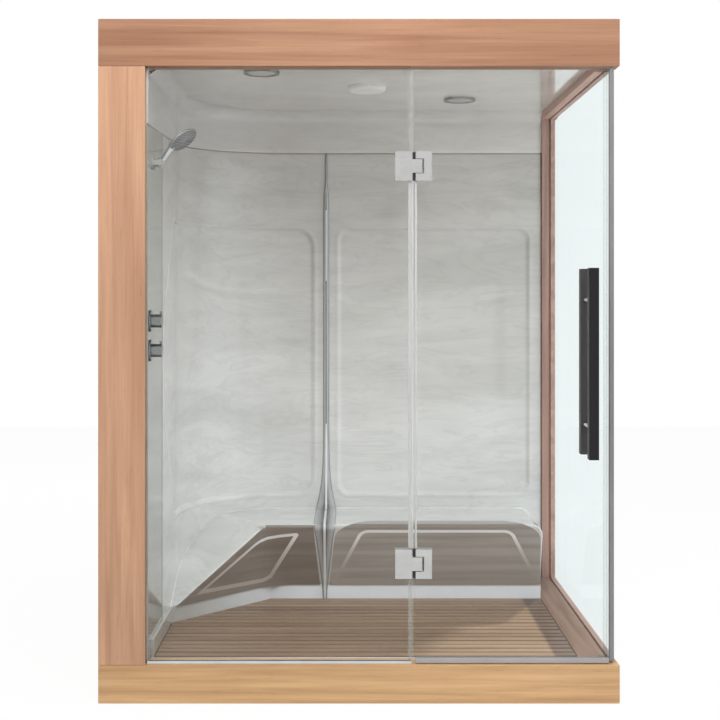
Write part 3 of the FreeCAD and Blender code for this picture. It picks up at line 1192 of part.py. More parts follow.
head = rod("handset_disc", SPRAY_AXIS,
           (f"{stem_end[0]} + sin({SPRAY}) * {REACH} + cos({SPRAY}) * {HALF_HEAD}", SHOWER_Y,
            f"{stem_end[2]} + cos({SPRAY}) * {REACH} - sin({SPRAY}) * {HALF_HEAD}"),
           "handset_head", "handset_head_thickness")
node(fused("hand_shower", stem_low, stem_high, head))

# Steam generator on the tray under the right seat; its outlet pipe runs through the upstand, under the slats
GENERATOR_BACK = f"({BACK_IN} - generator_gap)"
GENERATOR_FRONT = f"({GENERATOR_BACK} - generator_depth)"
casing = rounded("generator_casing",
                 block("generator_block", ("generator_x", "(generator_x + generator_width)"),
                       (GENERATOR_FRONT, GENERATOR_BACK), (DECK, f"({DECK} + generator_height)")),
                 "generator_round", lambda a, b: abs(a.x - b.x) + abs(a.y - b.y) < TINY)
PIPE_END = f"({SKIRT_FRONT} - steam_pipe_reach)"
steam_pipe = rod("steam_pipe", Y_AXIS, ("steam_pipe_x", PIPE_END, STEAM_Z), "steam_pipe_radius",
                 f"{GENERATOR_FRONT} - {PIPE_END} + overrun")
steam_bore = rod("steam_bore", Y_AXIS, ("steam_pipe_x", f"{PIPE_END} - overrun", STEAM_Z), "steam_pipe_bore",
                 f"{GENERATOR_FRONT} - {PIPE_END} + overrun")
node(cut("steam_generator", fused("generator_whole", casing, steam_pipe), steam_bore))

# Every object has to be sound before anything is written
doc.recompute()
for item in doc.Objects:
    if "Invalid" in item.State or "Error" in item.State:
        raise RuntimeError(f"{item.Label} failed: {item.State}")
for item in nodes:
    if item.Shape.isNull() or not item.Shape.isValid() or not item.Shape.Solids:
        raise RuntimeError(f"{item.Label} has no valid shape")
os.makedirs("parts", exist_ok=True)
for item in nodes:
    item.Shape.exportStep(f"parts/{item.Label}.step")
    print(f"{item.Label}: {len(item.Shape.Solids)} solids, {item.Shape.Volume:.0f} mm3")
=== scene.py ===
"""Looks of a two-seat steam room: its finishes, its finer shapes, the studio and the camera."""

import json
import logging
import math
from dataclasses import dataclass
from enum import Enum
from typing import Callable, ClassVar, Sequence

import bmesh
import bpy
from mathutils import Matrix, Vector


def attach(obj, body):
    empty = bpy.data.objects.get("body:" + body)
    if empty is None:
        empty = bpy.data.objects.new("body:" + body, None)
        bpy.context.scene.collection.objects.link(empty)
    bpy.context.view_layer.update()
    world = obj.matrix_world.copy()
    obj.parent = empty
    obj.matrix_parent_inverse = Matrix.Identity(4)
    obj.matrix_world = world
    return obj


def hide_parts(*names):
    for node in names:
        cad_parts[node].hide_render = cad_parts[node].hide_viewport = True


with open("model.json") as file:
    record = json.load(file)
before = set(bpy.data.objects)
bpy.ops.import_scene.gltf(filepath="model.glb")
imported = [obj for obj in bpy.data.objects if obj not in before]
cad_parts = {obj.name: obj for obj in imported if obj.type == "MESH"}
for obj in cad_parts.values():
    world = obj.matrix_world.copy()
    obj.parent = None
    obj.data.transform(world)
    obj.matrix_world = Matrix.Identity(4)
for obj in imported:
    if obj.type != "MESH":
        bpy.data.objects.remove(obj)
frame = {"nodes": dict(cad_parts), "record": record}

LOG = logging.getLogger("steam_room")
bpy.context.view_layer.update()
MM = 0.001
SAME_POINT = 0.00002  # metres between points that become one
SAME_PLANE = 0.5  # degrees between flat faces that become one
NEAR = 0.0006  # metres within which a place counts as on a surface
LONG = 0.2  # metres, above which an edge counts as long
FACING = 0.9  # part of a normal along an axis, above which a face looks that way
Colour = tuple[float, float, float]
Point = tuple[float, float, float]
Piece = bpy.types.Object
Material = bpy.types.Material
Socket = bpy.types.NodeSocket


def metres(x: float, y: float, z: float) -> Vector:
    """Gives a place in metres from millimetres."""
    return Vector((x * MM, y * MM, z * MM))


def within(place: Vector, low: Point, high: Point) -> bool:
    """Tells whether a place lies inside a box given by two corners in millimetres."""
    return all(a * MM < part < b * MM for part, a, b in zip(place, low, high))


class Way(Enum):
    """The direction that timber grain or brushing runs in."""

    X = 0
    Y = 1
    Z = 2

    def stretch(self, along: float) -> Point:
        """Gives the scale on each axis of a pattern that is drawn out along this way."""
        return tuple(along if axis == self.value else 1.0 for axis in range(3))


class Bench:
    """Hand tools on meshes: selection, edit mode and modifiers."""

    smooth_to: ClassVar[float] = 40.0
    flat_weight: ClassVar[int] = 60

    @staticmethod
    def clear() -> None:
        """Goes back to object mode with nothing selected."""
        if bpy.context.object and bpy.context.object.mode != "OBJECT":
            bpy.ops.object.mode_set(mode="OBJECT")
        bpy.ops.object.select_all(action="DESELECT")

    @staticmethod
    def take(piece: Piece) -> Piece:
        """Makes one piece the only selected and active object.

        Args:
            piece: The piece.

        Returns:
            The same piece.
        """
        Bench.clear()
        piece.select_set(True)
        bpy.context.view_layer.objects.active = piece
        return piece

    @staticmethod
    def open(piece: Piece, everything: bool = False) -> None:
        """Starts editing a piece.

        Args:
            piece: The piece.
            everything: True to start with the whole mesh selected.
        """
        Bench.take(piece)
        bpy.ops.object.mode_set(mode="EDIT")
        bpy.ops.mesh.select_mode(type="VERT")
        bpy.ops.mesh.select_all(action="SELECT" if everything else "DESELECT")

    @staticmethod
    def close() -> None:
        """Ends editing."""
        bpy.ops.object.mode_set(mode="OBJECT")

    @staticmethod
    def pick(kind: str, gather: Callable[[bmesh.types.BMesh], list]) -> None:
        """Selects what a rule gathers from the open piece, and nothing else.

        Args:
            kind: FACE, EDGE or VERT.
            gather: Lists the faces, edges or points to select.
        """
        bpy.ops.mesh.select_mode(type=kind)
        bpy.ops.mesh.select_all(action="DESELECT")
        mesh = bmesh.from_edit_mesh(bpy.context.object.data)
        mesh.normal_update()
        for part in gather(mesh):
            part.select_set(True)
        bmesh.update_edit_mesh(bpy.context.object.data)

    @staticmethod
    def pick_faces(test: Callable[[Vector, Vector], bool]) -> None:
        """Selects the faces whose middle and normal pass a test."""
        Bench.pick("FACE", lambda mesh: [f for f in mesh.faces if test(f.calc_center_median(), f.normal)])

    @staticmethod
    def pick_edges(test: Callable[[Vector, Vector], bool]) -> None:
        """Selects the edges whose two ends pass a test."""
        Bench.pick("EDGE", lambda mesh: [e for e in mesh.edges if test(e.verts[0].co, e.verts[1].co)])

    @staticmethod
    def pick_points(test: Callable[[Vector], bool]) -> None:
        """Selects the points in sight whose places pass a test."""
        Bench.pick("VERT", lambda mesh: [v for v in mesh.verts if not v.hide and test(v.co)])

    @staticmethod
    def settle(piece: Piece) -> Piece:
        """Puts a piece's place, turn and scale into its mesh.

        Args:
            piece: The piece.

        Returns:
            The same piece.
        """
        Bench.take(piece)
        bpy.ops.object.transform_apply(location=True, rotation=True, scale=True)
        return piece

    @staticmethod
    def apply(piece: Piece, kind: str, **settings: object) -> None:
        """Adds a modifier to a piece and applies it.

        Args:
            piece: The piece.
            kind: The modifier's type.
            settings: Its settings by name.
        """
        Bench.take(piece)
        modifier = piece.modifiers.new(kind.title(), kind)
        for name, value in settings.items():
            setattr(modifier, name, value)
        bpy.ops.object.modifier_apply(modifier=modifier.name)

    @staticmethod
    def smooth(piece: Piece, degrees: float) -> Piece:
        """Shades a piece smooth across edges flatter than an angle.

        Args:
            piece: The piece.
            degrees: The angle.

        Returns:
            The same piece.
        """
        Bench.take(piece)
        bpy.ops.object.shade_smooth_by_angle(angle=math.radians(degrees))
        return piece

    @staticmethod
    def link(item: Piece) -> Piece:
        """Puts a new object into the scene."""
        bpy.context.scene.collection.objects.link(item)
        return item

    @staticmethod
    def copy_of(node: str) -> Piece:
        """Copies a CAD node as a piece of its own, with merged points and whole flat faces.

        Args:
            node: The node's name.

        Returns:
            The new piece, called by the node's name with _dressed after it.
        """
        piece = Bench.link(bpy.data.objects.new(f"{node}_dressed", frame["nodes"][node].data.copy()))
        Bench.open(piece, everything=True)
        bpy.ops.mesh.customdata_custom_splitnormals_clear()
        bpy.ops.mesh.remove_doubles(threshold=SAME_POINT)
        bpy.ops.mesh.dissolve_limited(angle_limit=math.radians(SAME_PLANE))
        Bench.close()
        return piece

    @staticmethod
    def ease(piece: Piece, width: float, segments: int = 2, angle: float = 40.0, clamp: bool = True) -> Piece:
        """Rounds a piece's sharp edges and shades its flats flat.

        Args:
            piece: The piece to round.
            width: Width of the rounding, mm.
            segments: Facets across it.
            angle: Edges sharper than this, in degrees, are rounded.
            clamp: True to narrow the rounding where it has no room.

        Returns:
            The same piece.
        """
        Bench.apply(piece, "BEVEL", width=width * MM, segments=segments, limit_method="ANGLE",
                    angle_limit=math.radians(angle), use_clamp_overlap=clamp, miter_outer="MITER_ARC")
        Bench.smooth(piece, Bench.smooth_to)
        Bench.apply(piece, "WEIGHTED_NORMAL", keep_sharp=True, weight=Bench.flat_weight)
        return piece

    @staticmethod
    def join(name: str, pieces: Sequence[Piece]) -> Piece:
        """Joins pieces into one.

        Args:
            name: Name of the joined piece.
            pieces: The pieces, the first of which is kept.

        Returns:
            The joined piece.
        """
        Bench.take(pieces[0])
        for piece in pieces:
            piece.select_set(True)
        bpy.ops.object.join()
        pieces[0].name = name
        return pieces[0]

    @staticmethod
    def turned(name: str, foot: Vector, way: Vector, profile: Sequence[tuple[float, float]], sides: int) -> Piece:
        """Turns a round piece: a disc is drawn out and widened or narrowed ring by ring.

        Args:
            name: Name of the piece.
            foot: Middle of its first ring.
            way: Direction of its axis.
            profile: Each ring's distance along the axis and radius, mm, the first at 0.
            sides: Facets round it.

        Returns:
            The piece, closed at both ends.
        """
        Bench.clear()
        bpy.ops.mesh.primitive_circle_add(vertices=sides, radius=profile[0][1] * MM, fill_type="NGON")
        piece = bpy.context.object
        piece.name = name
        bpy.ops.object.mode_set(mode="EDIT")
        for (low, start), (high, end) in zip(profile, profile[1:]):
            bpy.ops.mesh.extrude_region_move(TRANSFORM_OT_translate={"value": (0, 0, (high - low) * MM)})
            ratio = end / start
            bpy.ops.transform.resize(value=(ratio, ratio, 1), center_override=(0, 0, high * MM))
        bpy.ops.mesh.select_all(action="SELECT")
        bpy.ops.mesh.normals_make_consistent(inside=False)
        Bench.close()
        piece.matrix_world = Matrix.Translation(foot) @ way.to_track_quat("Z", "Y").to_matrix().to_4x4()
        return Bench.settle(piece)

    @staticmethod
    def lofted(name: str, rings: Sequence[tuple[Vector, Vector, Vector, float, float]], sides: int = 24) -> Piece:
        """Lofts a bar: an oval is set at each station and the ovals are bridged.

        Args:
            name: Name of the piece.
            rings: Each oval's middle, its two unit axes, and half its width and height on them, mm.
            sides: Facets round it.

        Returns:
            The piece, closed at both ends.
        """
        ovals = []
        for middle, across, up, half_width, half_height in rings:
            Bench.clear()
            bpy.ops.mesh.primitive_circle_add(vertices=sides, radius=1.0)
            oval = bpy.context.object
            columns = (across * half_width * MM, up * half_height * MM, across.cross(up), middle)
            oval.matrix_world = Matrix([[*(c[row] for c in columns)] for row in range(3)] + [[0, 0, 0, 1]])
            ovals.append(Bench.settle(oval))
        piece = Bench.join(name, ovals)
        Bench.open(piece, everything=True)
        bpy.ops.mesh.bridge_edge_loops()
        bpy.ops.mesh.select_all(action="DESELECT")
        bpy.ops.mesh.select_non_manifold()
        bpy.ops.mesh.fill_holes(sides=0)
        bpy.ops.mesh.select_all(action="SELECT")
        bpy.ops.mesh.normals_make_consistent(inside=False)
        Bench.close()
        return piece

    @staticmethod
    def block(name: str, low: Vector, high: Vector) -> Piece:
        """Starts a piece from a block.

        Args:
            name: Name of the piece.
            low: Its lowest corner.
            high: Its highest corner.

        Returns:
            The block, with its place in its mesh.
        """
        Bench.clear()
        bpy.ops.mesh.primitive_cube_add(size=1, location=(low + high) / 2)
        piece = bpy.context.object
        piece.name = name
        piece.scale = high - low
        return Bench.settle(piece)

    @staticmethod
    def dress(piece: Piece, *finishes: "Finish") -> Piece:
        """Gives a piece its finishes, with the first on every face.

        Args:
            piece: The piece.
            finishes: Its finishes, one for each slot.

        Returns:
            The same piece.
        """
        piece.data.materials.clear()
        for finish in finishes:
            piece.data.materials.append(finish.material())
        return piece

    @staticmethod
    def paint(piece: Piece) -> None:
        """Gives the picked faces of the open piece its second finish, and ends editing.

        Args:
            piece: The open piece.
        """
        piece.active_material_index = 1
        bpy.ops.object.material_slot_assign()
        Bench.close()


class Graph:
    """A material's or world's node tree, built node by node."""

    def __init__(self, owner: Material | bpy.types.World) -> None:
        """Empties the tree of a material or world.

        Args:
            owner: The material or world.
        """
        self.owner = owner
        owner.use_nodes = True
        self.tree = owner.node_tree
        self.tree.nodes.clear()

    def add(self, kind: str, values: dict | None = None, **settings: object) -> bpy.types.Node:
        """Adds a node.

        Args:
            kind: The node's type, without the word ShaderNode.
            values: What goes into its inputs, by name or number: a plain value, or another node's output.
            settings: The node's own settings.

        Returns:
            The new node.
        """
        node = self.tree.nodes.new(f"ShaderNode{kind}")
        for name, value in settings.items():
            setattr(node, name, value)
        for key, value in (values or {}).items():
            if isinstance(value, Socket):
                self.tree.links.new(value, node.inputs[key])
            else:
                node.inputs[key].default_value = value
        return node

    def place(self) -> Socket:
        """Gives the place on the object."""
        return self.add("TexCoord").outputs["Object"]

    def axis(self, way: Way, vector: Socket | None = None) -> Socket:
        """Gives one part of a vector, or of the place on the object."""
        return self.add("SeparateXYZ", {0: vector or self.place()}).outputs[way.value]

    def math(self, operation: str, first: Socket | float, second: Socket | float = 0.0) -> Socket:
        """Does a sum on one or two values."""
        return self.add("Math", {0: first, 1: second}, operation=operation).outputs[0]

    def noise(self, size: float, detail: float, rough: float, scale: Point = (1.0, 1.0, 1.0), warp: float = 0.0,
              turn: Point = (0.0, 0.0, 0.0)) -> Socket:
        """Gives a cloud pattern on the object's own coordinates.

        Args:
            size: Cells per metre.
            detail: Octaves.
            rough: Weight of the finer octaves.
            scale: How the pattern is drawn out on each axis.
            warp: Distortion.
            turn: Turn of the pattern about each axis, radians.

        Returns:
            The pattern, 0 to 1.
        """
        where = self.add("Mapping", {"Vector": self.place(), "Rotation": turn, "Scale": scale}).outputs[0]
        return self.add("TexNoise", {"Vector": where, "Scale": size, "Detail": detail, "Roughness": rough,
                                     "Distortion": warp}).outputs[0]

    def ramp(self, source: Socket, *stops: tuple[float, Colour | float]) -> Socket:
        """Turns a pattern into colours.

        Args:
            source: The pattern.
            stops: Places from 0 to 1 with their colours, or one number for a grey.

        Returns:
            The colour.
        """
        node = self.add("ValToRGB", {"Fac": source})
        bands = node.color_ramp.elements
        while len(bands) < len(stops):
            bands.new(1.0)
        for band, (place, tone) in zip(bands, stops):
            band.position = place
            band.color = (*((tone,) * 3 if isinstance(tone, float) else tone), 1.0)
        return node.outputs[0]

    def span(self, source: Socket, low: float, high: float, start: float = 0.3, end: float = 0.7) -> Socket:
        """Maps a pattern's start to end range onto low to high."""
        return self.add("MapRange", {"Value": source, "From Min": start, "From Max": end,
                                     "To Min": low, "To Max": high}).outputs[0]

    def tint(self, colour: Socket, share: float, source: Socket, *stops: tuple[float, Colour | float]) -> Socket:
        """Multiplies a colour by a share of the tones that stand at stops on a pattern."""
        return self.add("Mix", {0: share, 6: colour, 7: self.ramp(source, *stops)}, data_type="RGBA",
                        blend_type="MULTIPLY").outputs[2]

    def bump(self, height: Socket, depth: float, strength: float) -> Socket:
        """Gives the normal bumped by a height pattern, whose 1 stands for a depth in mm."""
        return self.add("Bump", {"Height": height, "Distance": depth * MM, "Strength": strength}).outputs[0]

    def surface(self, values: dict) -> Material:
        """Ends the tree in a principled surface with these inputs, and gives the material."""
        self.add("OutputMaterial", {"Surface": self.add("BsdfPrincipled", values).outputs[0]})
        return self.owner

    def mixed(self, share: Socket, first: bpy.types.Node, second: bpy.types.Node,
              end: str = "OutputMaterial") -> Material | bpy.types.World:
        """Ends the tree in a mix of two shaders.

        Args:
            share: Share of the second.
            first: One shader.
            second: The other.
            end: Type of the output node.

        Returns:
            The material or world.
        """
        both = self.add("MixShader", {0: share, 1: first.outputs[0], 2: second.outputs[0]})
        self.add(end, {"Surface": both.outputs[0]})
        return self.owner

    def seen(self) -> Socket:
        """Tells where the eye looks, straight or by way of gloss or glass, from light that bounces.

        Returns:
            The share, 0 or 1.
        """
        path = self.add("LightPath").outputs
        either = self.math("MAXIMUM", path["Is Camera Ray"], path["Is Glossy Ray"])
        return self.math("MAXIMUM", either, path["Is Transmission Ray"])


def between(first: Colour, second: Colour) -> Colour:
    """Gives the colour halfway between two."""
    return tuple((a + b) / 2 for a, b in zip(first, second))


def dimmed(tone: Colour, share: float) -> Colour:
    """Gives a share of a colour."""
    return tuple(share * part for part in tone)


@dataclass(frozen=True)
class Finish:
    """A finish that is made into a material once."""

    name: str
    made: ClassVar[dict[str, Material]] = {}

    def layers(self, g: Graph) -> Material:
        """Builds the finish in an empty tree and gives its material."""
        raise NotImplementedError

    def material(self) -> Material:
        """Gives the finish's material, made on first use.

        Returns:
            The material.
        """
        if self.name not in Finish.made:
            Finish.made[self.name] = self.layers(Graph(bpy.data.materials.new(self.name)))
        return Finish.made[self.name]


@dataclass(frozen=True)
class Timber(Finish):
    """Planed, lightly oiled softwood with straight grain, with a painted shadow past a given X in metres, where the
    side sill shades the deck.
    """

    way: Way
    pale: Colour
    deep: Colour
    band: float = 30.0
    contrast: float = 0.55
    boards: bool = False
    rough: float = 0.5
    wave: float = 0.6
    sill_shadow_tone: Colour = (1.0, 1.0, 1.0)
    sill_shadow_from: float = 0.0
    sill_shadow_fade: ClassVar[float] = 0.012

    def layers(self, g: Graph) -> Material:
        """Layers year bands, fine fibres, soft cloudiness, pores and the painted sill shadow.

        Args:
            g: The empty tree.

        Returns:
            The material.
        """
        bands = g.noise(self.band, 3.0, 0.5, self.way.stretch(0.035), self.wave)
        fibres = g.noise(210.0, 4.0, 0.65, self.way.stretch(0.018))
        clouds = g.noise(5.0, 2.0, 0.5, self.way.stretch(0.4))
        pores = g.noise(380.0, 2.0, 0.5, self.way.stretch(0.045))
        edge = 0.5 - 0.25 * self.contrast
        colour = g.ramp(bands, (edge, self.deep), (0.5, between(self.pale, self.deep)), (1.0 - edge, self.pale))
        colour = g.tint(colour, 0.6, fibres, (0.28, (0.76, 0.72, 0.68)), (0.7, 1.03))
        colour = g.tint(colour, 0.6, clouds, (0.3, (0.88, 0.85, 0.83)), (0.7, (1.06, 1.05, 1.04)))
        colour = g.tint(colour, 0.5, pores, (0.27, (0.60, 0.50, 0.44)), (0.37, 1.0))
        if self.boards:
            own = g.add("NewGeometry").outputs["Random Per Island"]
            colour = g.tint(colour, 0.8, own, (0.0, (0.84, 0.82, 0.80)), (0.5, (1.0, 0.99, 0.98)), (1.0, 1.1))
        # painted shadow: past a set X the timber is multiplied down to a darker tone, standing for the side sill's
        # shadow
        if self.sill_shadow_from:
            edge = g.span(g.axis(Way.X), 0.0, 1.0, self.sill_shadow_from, self.sill_shadow_from + self.sill_shadow_fade)
            colour = g.tint(colour, 1.0, edge, (0.0, 1.0), (1.0, self.sill_shadow_tone))
        return g.surface({"Base Color": colour, "Roughness": g.span(fibres, self.rough - 0.07, self.rough + 0.1),
                          "Specular IOR Level": 0.35, "Normal": g.bump(fibres, 0.35, 0.5)})


@dataclass(frozen=True)
class Acrylic(Finish):
    """Moulded gloss acrylic with faint drifting veins, under a painted shade that deepens along one axis over a span
    in metres.
    """

    pale: Colour
    vein: Colour
    strength: float = 1.0
    rough: float = 0.12
    bright_coat: float = 0.6
    shade: Colour = (1.0, 1.0, 1.0)
    shade_way: Way = Way.Z
    shade_span: tuple[float, float] = (0.45, 1.8)
    drawn: ClassVar[Point] = (0.55, 0.8, 2.6)
    turn: ClassVar[Point] = (0.0, 0.16, 0.1)

    def layers(self, g: Graph) -> Material:
        """Draws long soft veins that run nearly level, over a gentle cloudiness, and multiplies in the painted shade.

        Args:
            g: The empty tree.

        Returns:
            The material.
        """
        drift = g.noise(2.3, 5.0, 0.55, self.drawn, 1.1, self.turn)
        veins = g.noise(5.0, 6.0, 0.6, self.drawn, 1.8, self.turn)
        dust = g.noise(40.0, 2.0, 0.6)
        # painted shade: how far along the span a place lies, which multiplies the colour towards the shade colour
        depth = g.span(g.axis(self.shade_way), 0.0, 1.0, *self.shade_span)
        colour = g.ramp(drift, (0.32, self.vein), (0.5, between(self.pale, self.vein)), (0.66, self.pale))
        colour = g.tint(colour, 0.55 * self.strength, veins, (0.44, 1.0), (0.5, 0.9), (0.53, (1.03, 1.03, 1.02)),
                        (0.6, 1.0))
        colour = g.tint(colour, 1.0, depth, (0.0, 1.0), (1.0, self.shade))
        return g.surface({"Base Color": colour, "Roughness": g.span(dust, self.rough - 0.02, self.rough + 0.05),
                          "Coat Weight": self.bright_coat, "Coat Roughness": 0.05, "IOR": 1.49,
                          "Normal": g.bump(drift, 0.6, 0.25)})


@dataclass(frozen=True)
class Lacquer(Finish):
    """Sprayed gloss colour with fine dust in the coat, whose tones and soft level banding are a painted reflection of
    the wooden deck.
    """

    tone: Colour
    shade: Colour
    rough: float = 0.2
    coat: float = 0.7

    def layers(self, g: Graph) -> Material:
        """Mixes two tones in level bands, the painted deck reflection, and roughens the coat a little.

        Args:
            g: The empty tree.

        Returns:
            The material.
        """
        # painted reflection: the level bands stand for the slatted deck mirrored in the gloss
        bands = g.noise(2.6, 3.0, 0.5, (0.5, 0.5, 14.0), 0.4)
        dust = g.noise(240.0, 3.0, 0.6)
        colour = g.ramp(bands, (0.36, self.shade), (0.62, self.tone))
        colour = g.tint(colour, 0.5, dust, (0.3, 0.95), (0.7, 1.04))
        return g.surface({"Base Color": colour, "Roughness": g.span(dust, self.rough - 0.04, self.rough + 0.06),
                          "Coat Weight": self.coat, "Coat Roughness": 0.08, "Normal": g.bump(dust, 0.05, 0.2)})


@dataclass(frozen=True)
class RidgeHighlight(Finish):
    """Painted highlight on a moulded ridge, for the light that its bevel catches: from deep at a low height to pale at
    a high one, mm.
    """

    pale: Colour
    deep: Colour
    low: float
    high: float

    def layers(self, g: Graph) -> Material:
        """Fades from the deep tone up to the pale painted highlight.

        Args:
            g: The empty tree.

        Returns:
            The material.
        """
        dust = g.noise(240.0, 3.0, 0.6)
        # painted highlight: paler with height, where the ridge catches the most light
        fade = g.span(g.axis(Way.Z), 0.0, 1.0, self.low * MM, self.high * MM)
        colour = g.ramp(fade, (0.0, self.deep), (0.7, between(self.deep, self.pale)), (1.0, self.pale))
        return g.surface({"Base Color": colour, "Roughness": g.span(dust, 0.12, 0.22), "Coat Weight": 0.8,
                          "Coat Roughness": 0.06, "Normal": g.bump(dust, 0.05, 0.2)})


@dataclass(frozen=True)
class Pane(Finish):
    """Clear toughened glass with a faint cool tint."""

    tint: Colour
    index: float = 1.3

    def layers(self, g: Graph) -> Material:
        """Lets light through unbent and mirrors the room at glancing angles, on outer faces only.

        Args:
            g: The empty tree.

        Returns:
            The material.
        """
        smear = g.noise(6.0, 3.0, 0.6, (1.0, 1.0, 0.5))
        clear = g.add("BsdfTransparent", {"Color": (*self.tint, 1.0)})
        mirror = g.add("BsdfGlossy", {"Color": (1.0, 1.0, 1.0, 1.0), "Roughness": g.span(smear, 0.0, 0.03)})
        front = g.math("SUBTRACT", 1.0, g.add("NewGeometry").outputs["Backfacing"])
        gloss = g.add("Fresnel", {"IOR": self.index}).outputs[0]
        return g.mixed(g.math("MULTIPLY", gloss, front), clear, mirror)


@dataclass(frozen=True)
class Film(Finish):
    """Clear flexible strip with a milky bloom."""

    tone: Colour
    haze: float

    def layers(self, g: Graph) -> Material:
        """Mixes a see-through body with a soft pale skin.

        Args:
            g: The empty tree.

        Returns:
            The material.
        """
        streaks = g.noise(300.0, 3.0, 0.6, Way.Z.stretch(0.02))
        clear = g.add("BsdfTransparent", {"Color": (0.98, 0.985, 0.98, 1.0)})
        pale = g.ramp(streaks, (0.3, dimmed(self.tone, 0.85)), (0.7, self.tone))
        skin = g.add("BsdfPrincipled", {"Base Color": pale, "Roughness": 0.25})
        return g.mixed(g.span(streaks, 0.8 * self.haze, 1.15 * self.haze), clear, skin)


@dataclass(frozen=True)
class Metal(Finish):
    """Brushed or polished metal."""

    tone: Colour
    rough: float
    way: Way = Way.Z
    brushed: float = 0.5
    metallic: float = 1.0

    def layers(self, g: Graph) -> Material:
        """Draws fine brush lines along one way and a little cloudiness in the gloss.

        Args:
            g: The empty tree.

        Returns:
            The material.
        """
        lines = g.noise(900.0, 2.0, 0.6, self.way.stretch(0.01))
        clouds = g.noise(14.0, 3.0, 0.55)
        colour = g.ramp(clouds, (0.3, dimmed(self.tone, 0.86)), (0.7, self.tone))
        colour = g.tint(colour, self.brushed, lines, (0.3, 0.9), (0.7, 1.05))
        return g.surface({"Base Color": colour, "Metallic": self.metallic,
                          "Roughness": g.span(clouds, self.rough - 0.03, self.rough + 0.06),
                          "Normal": g.bump(lines, 0.08, 0.3 * self.brushed)})


@dataclass(frozen=True)
class TurnShadedTrim(Finish):
    """Polished trim with painted shade and highlight, whose tone runs in bands from its crown out to its edges."""

    bands: tuple[tuple[float, Colour], ...]
    rough: float = 0.25

    def layers(self, g: Graph) -> Material:
        """Takes the painted shade and highlight from how far the surface turns sideways, under fine brush lines.

        Args:
            g: The empty tree.

        Returns:
            The material.
        """
        # painted shade and highlight: the tone follows the surface's sideways turn, dark at the flanks and lighter
        # near the crown
        turn = g.math("ABSOLUTE", g.axis(Way.X, g.add("NewGeometry").outputs["Normal"]))
        lines = g.noise(700.0, 2.0, 0.6, Way.Z.stretch(0.01))
        colour = g.tint(g.ramp(turn, *self.bands), 0.6, lines, (0.3, 0.92), (0.7, 1.0))
        return g.surface({"Base Color": colour, "Metallic": 0.2,
                          "Roughness": g.span(lines, self.rough - 0.03, self.rough + 0.06)})


@dataclass(frozen=True)
class Moulded(Finish):
    """Plain moulded plastic or rubber with a fine skin."""

    tone: Colour
    rough: float = 0.4
    grain: float = 500.0
    glow: float = 0.0

    def layers(self, g: Graph) -> Material:
        """Gives a fine skin texture and slight unevenness of tone.

        Args:
            g: The empty tree.

        Returns:
            The material.
        """
        skin = g.noise(self.grain, 3.0, 0.6)
        clouds = g.noise(9.0, 3.0, 0.5)
        colour = g.ramp(clouds, (0.3, dimmed(self.tone, 0.88)), (0.7, self.tone))
        return g.surface({"Base Color": colour, "Roughness": g.span(skin, self.rough - 0.05, self.rough + 0.08),
                          "Emission Color": (*self.tone, 1.0), "Emission Strength": self.glow,
                          "Normal": g.bump(skin, 0.04, 0.25)})


class Wood:
    """The steam room's timbers."""

    TOP_BEAM = Timber("top_beam_timber", Way.X, (0.445, 0.250, 0.158), (0.335, 0.172, 0.104), 26.0, 0.5)
    SIDE_BEAM = Timber("side_beam_timber", Way.Y, (0.445, 0.250, 0.158), (0.335, 0.172, 0.104), 26.0, 0.5)
    POST = Timber("post_timber", Way.Z, (0.640, 0.385, 0.250), (0.510, 0.288, 0.182), 22.0, 0.5, wave=0.9)
    PLINTH = Timber("plinth_timber", Way.X, (0.725, 0.478, 0.252), (0.550, 0.332, 0.166), 44.0, 0.75, wave=0.25)
    SIDE_PLINTH = Timber("side_plinth_timber", Way.Y, (0.725, 0.478, 0.252), (0.550, 0.332, 0.166), 44.0, 0.75,
                         wave=0.25)
    RAIL = Timber("rail_timber", Way.Y, (0.690, 0.445, 0.372), (0.520, 0.322, 0.268), 30.0, 0.5)
    SILL = Timber("sill_timber", Way.Y, (0.420, 0.288, 0.228), (0.300, 0.197, 0.153), 30.0, 0.5)
    STILE = Timber("stile_timber", Way.Z, (0.550, 0.352, 0.295), (0.390, 0.240, 0.200), 30.0, 0.5)
    CLADDING = Timber("cladding_timber", Way.Z, (0.640, 0.360, 0.225), (0.470, 0.245, 0.150), 24.0, 0.6, True)
    # the deck's darker strip past X 0.609 m along the side sill is a painted shadow
    DECK = Timber("deck_timber", Way.X, (0.345, 0.244, 0.169), (0.256, 0.173, 0.118), 34.0, 0.5, True, 0.4,
                  sill_shadow_tone=(0.46, 0.45, 0.49), sill_shadow_from=0.609)
    BATTEN = Timber("batten_timber", Way.Y, (0.330, 0.245, 0.175), (0.230, 0.165, 0.115), 34.0, 0.6, True, 0.6)
    ROOF = Timber("roof_board_timber", Way.X, (0.560, 0.400, 0.260), (0.420, 0.290, 0.185), 20.0, 0.6)


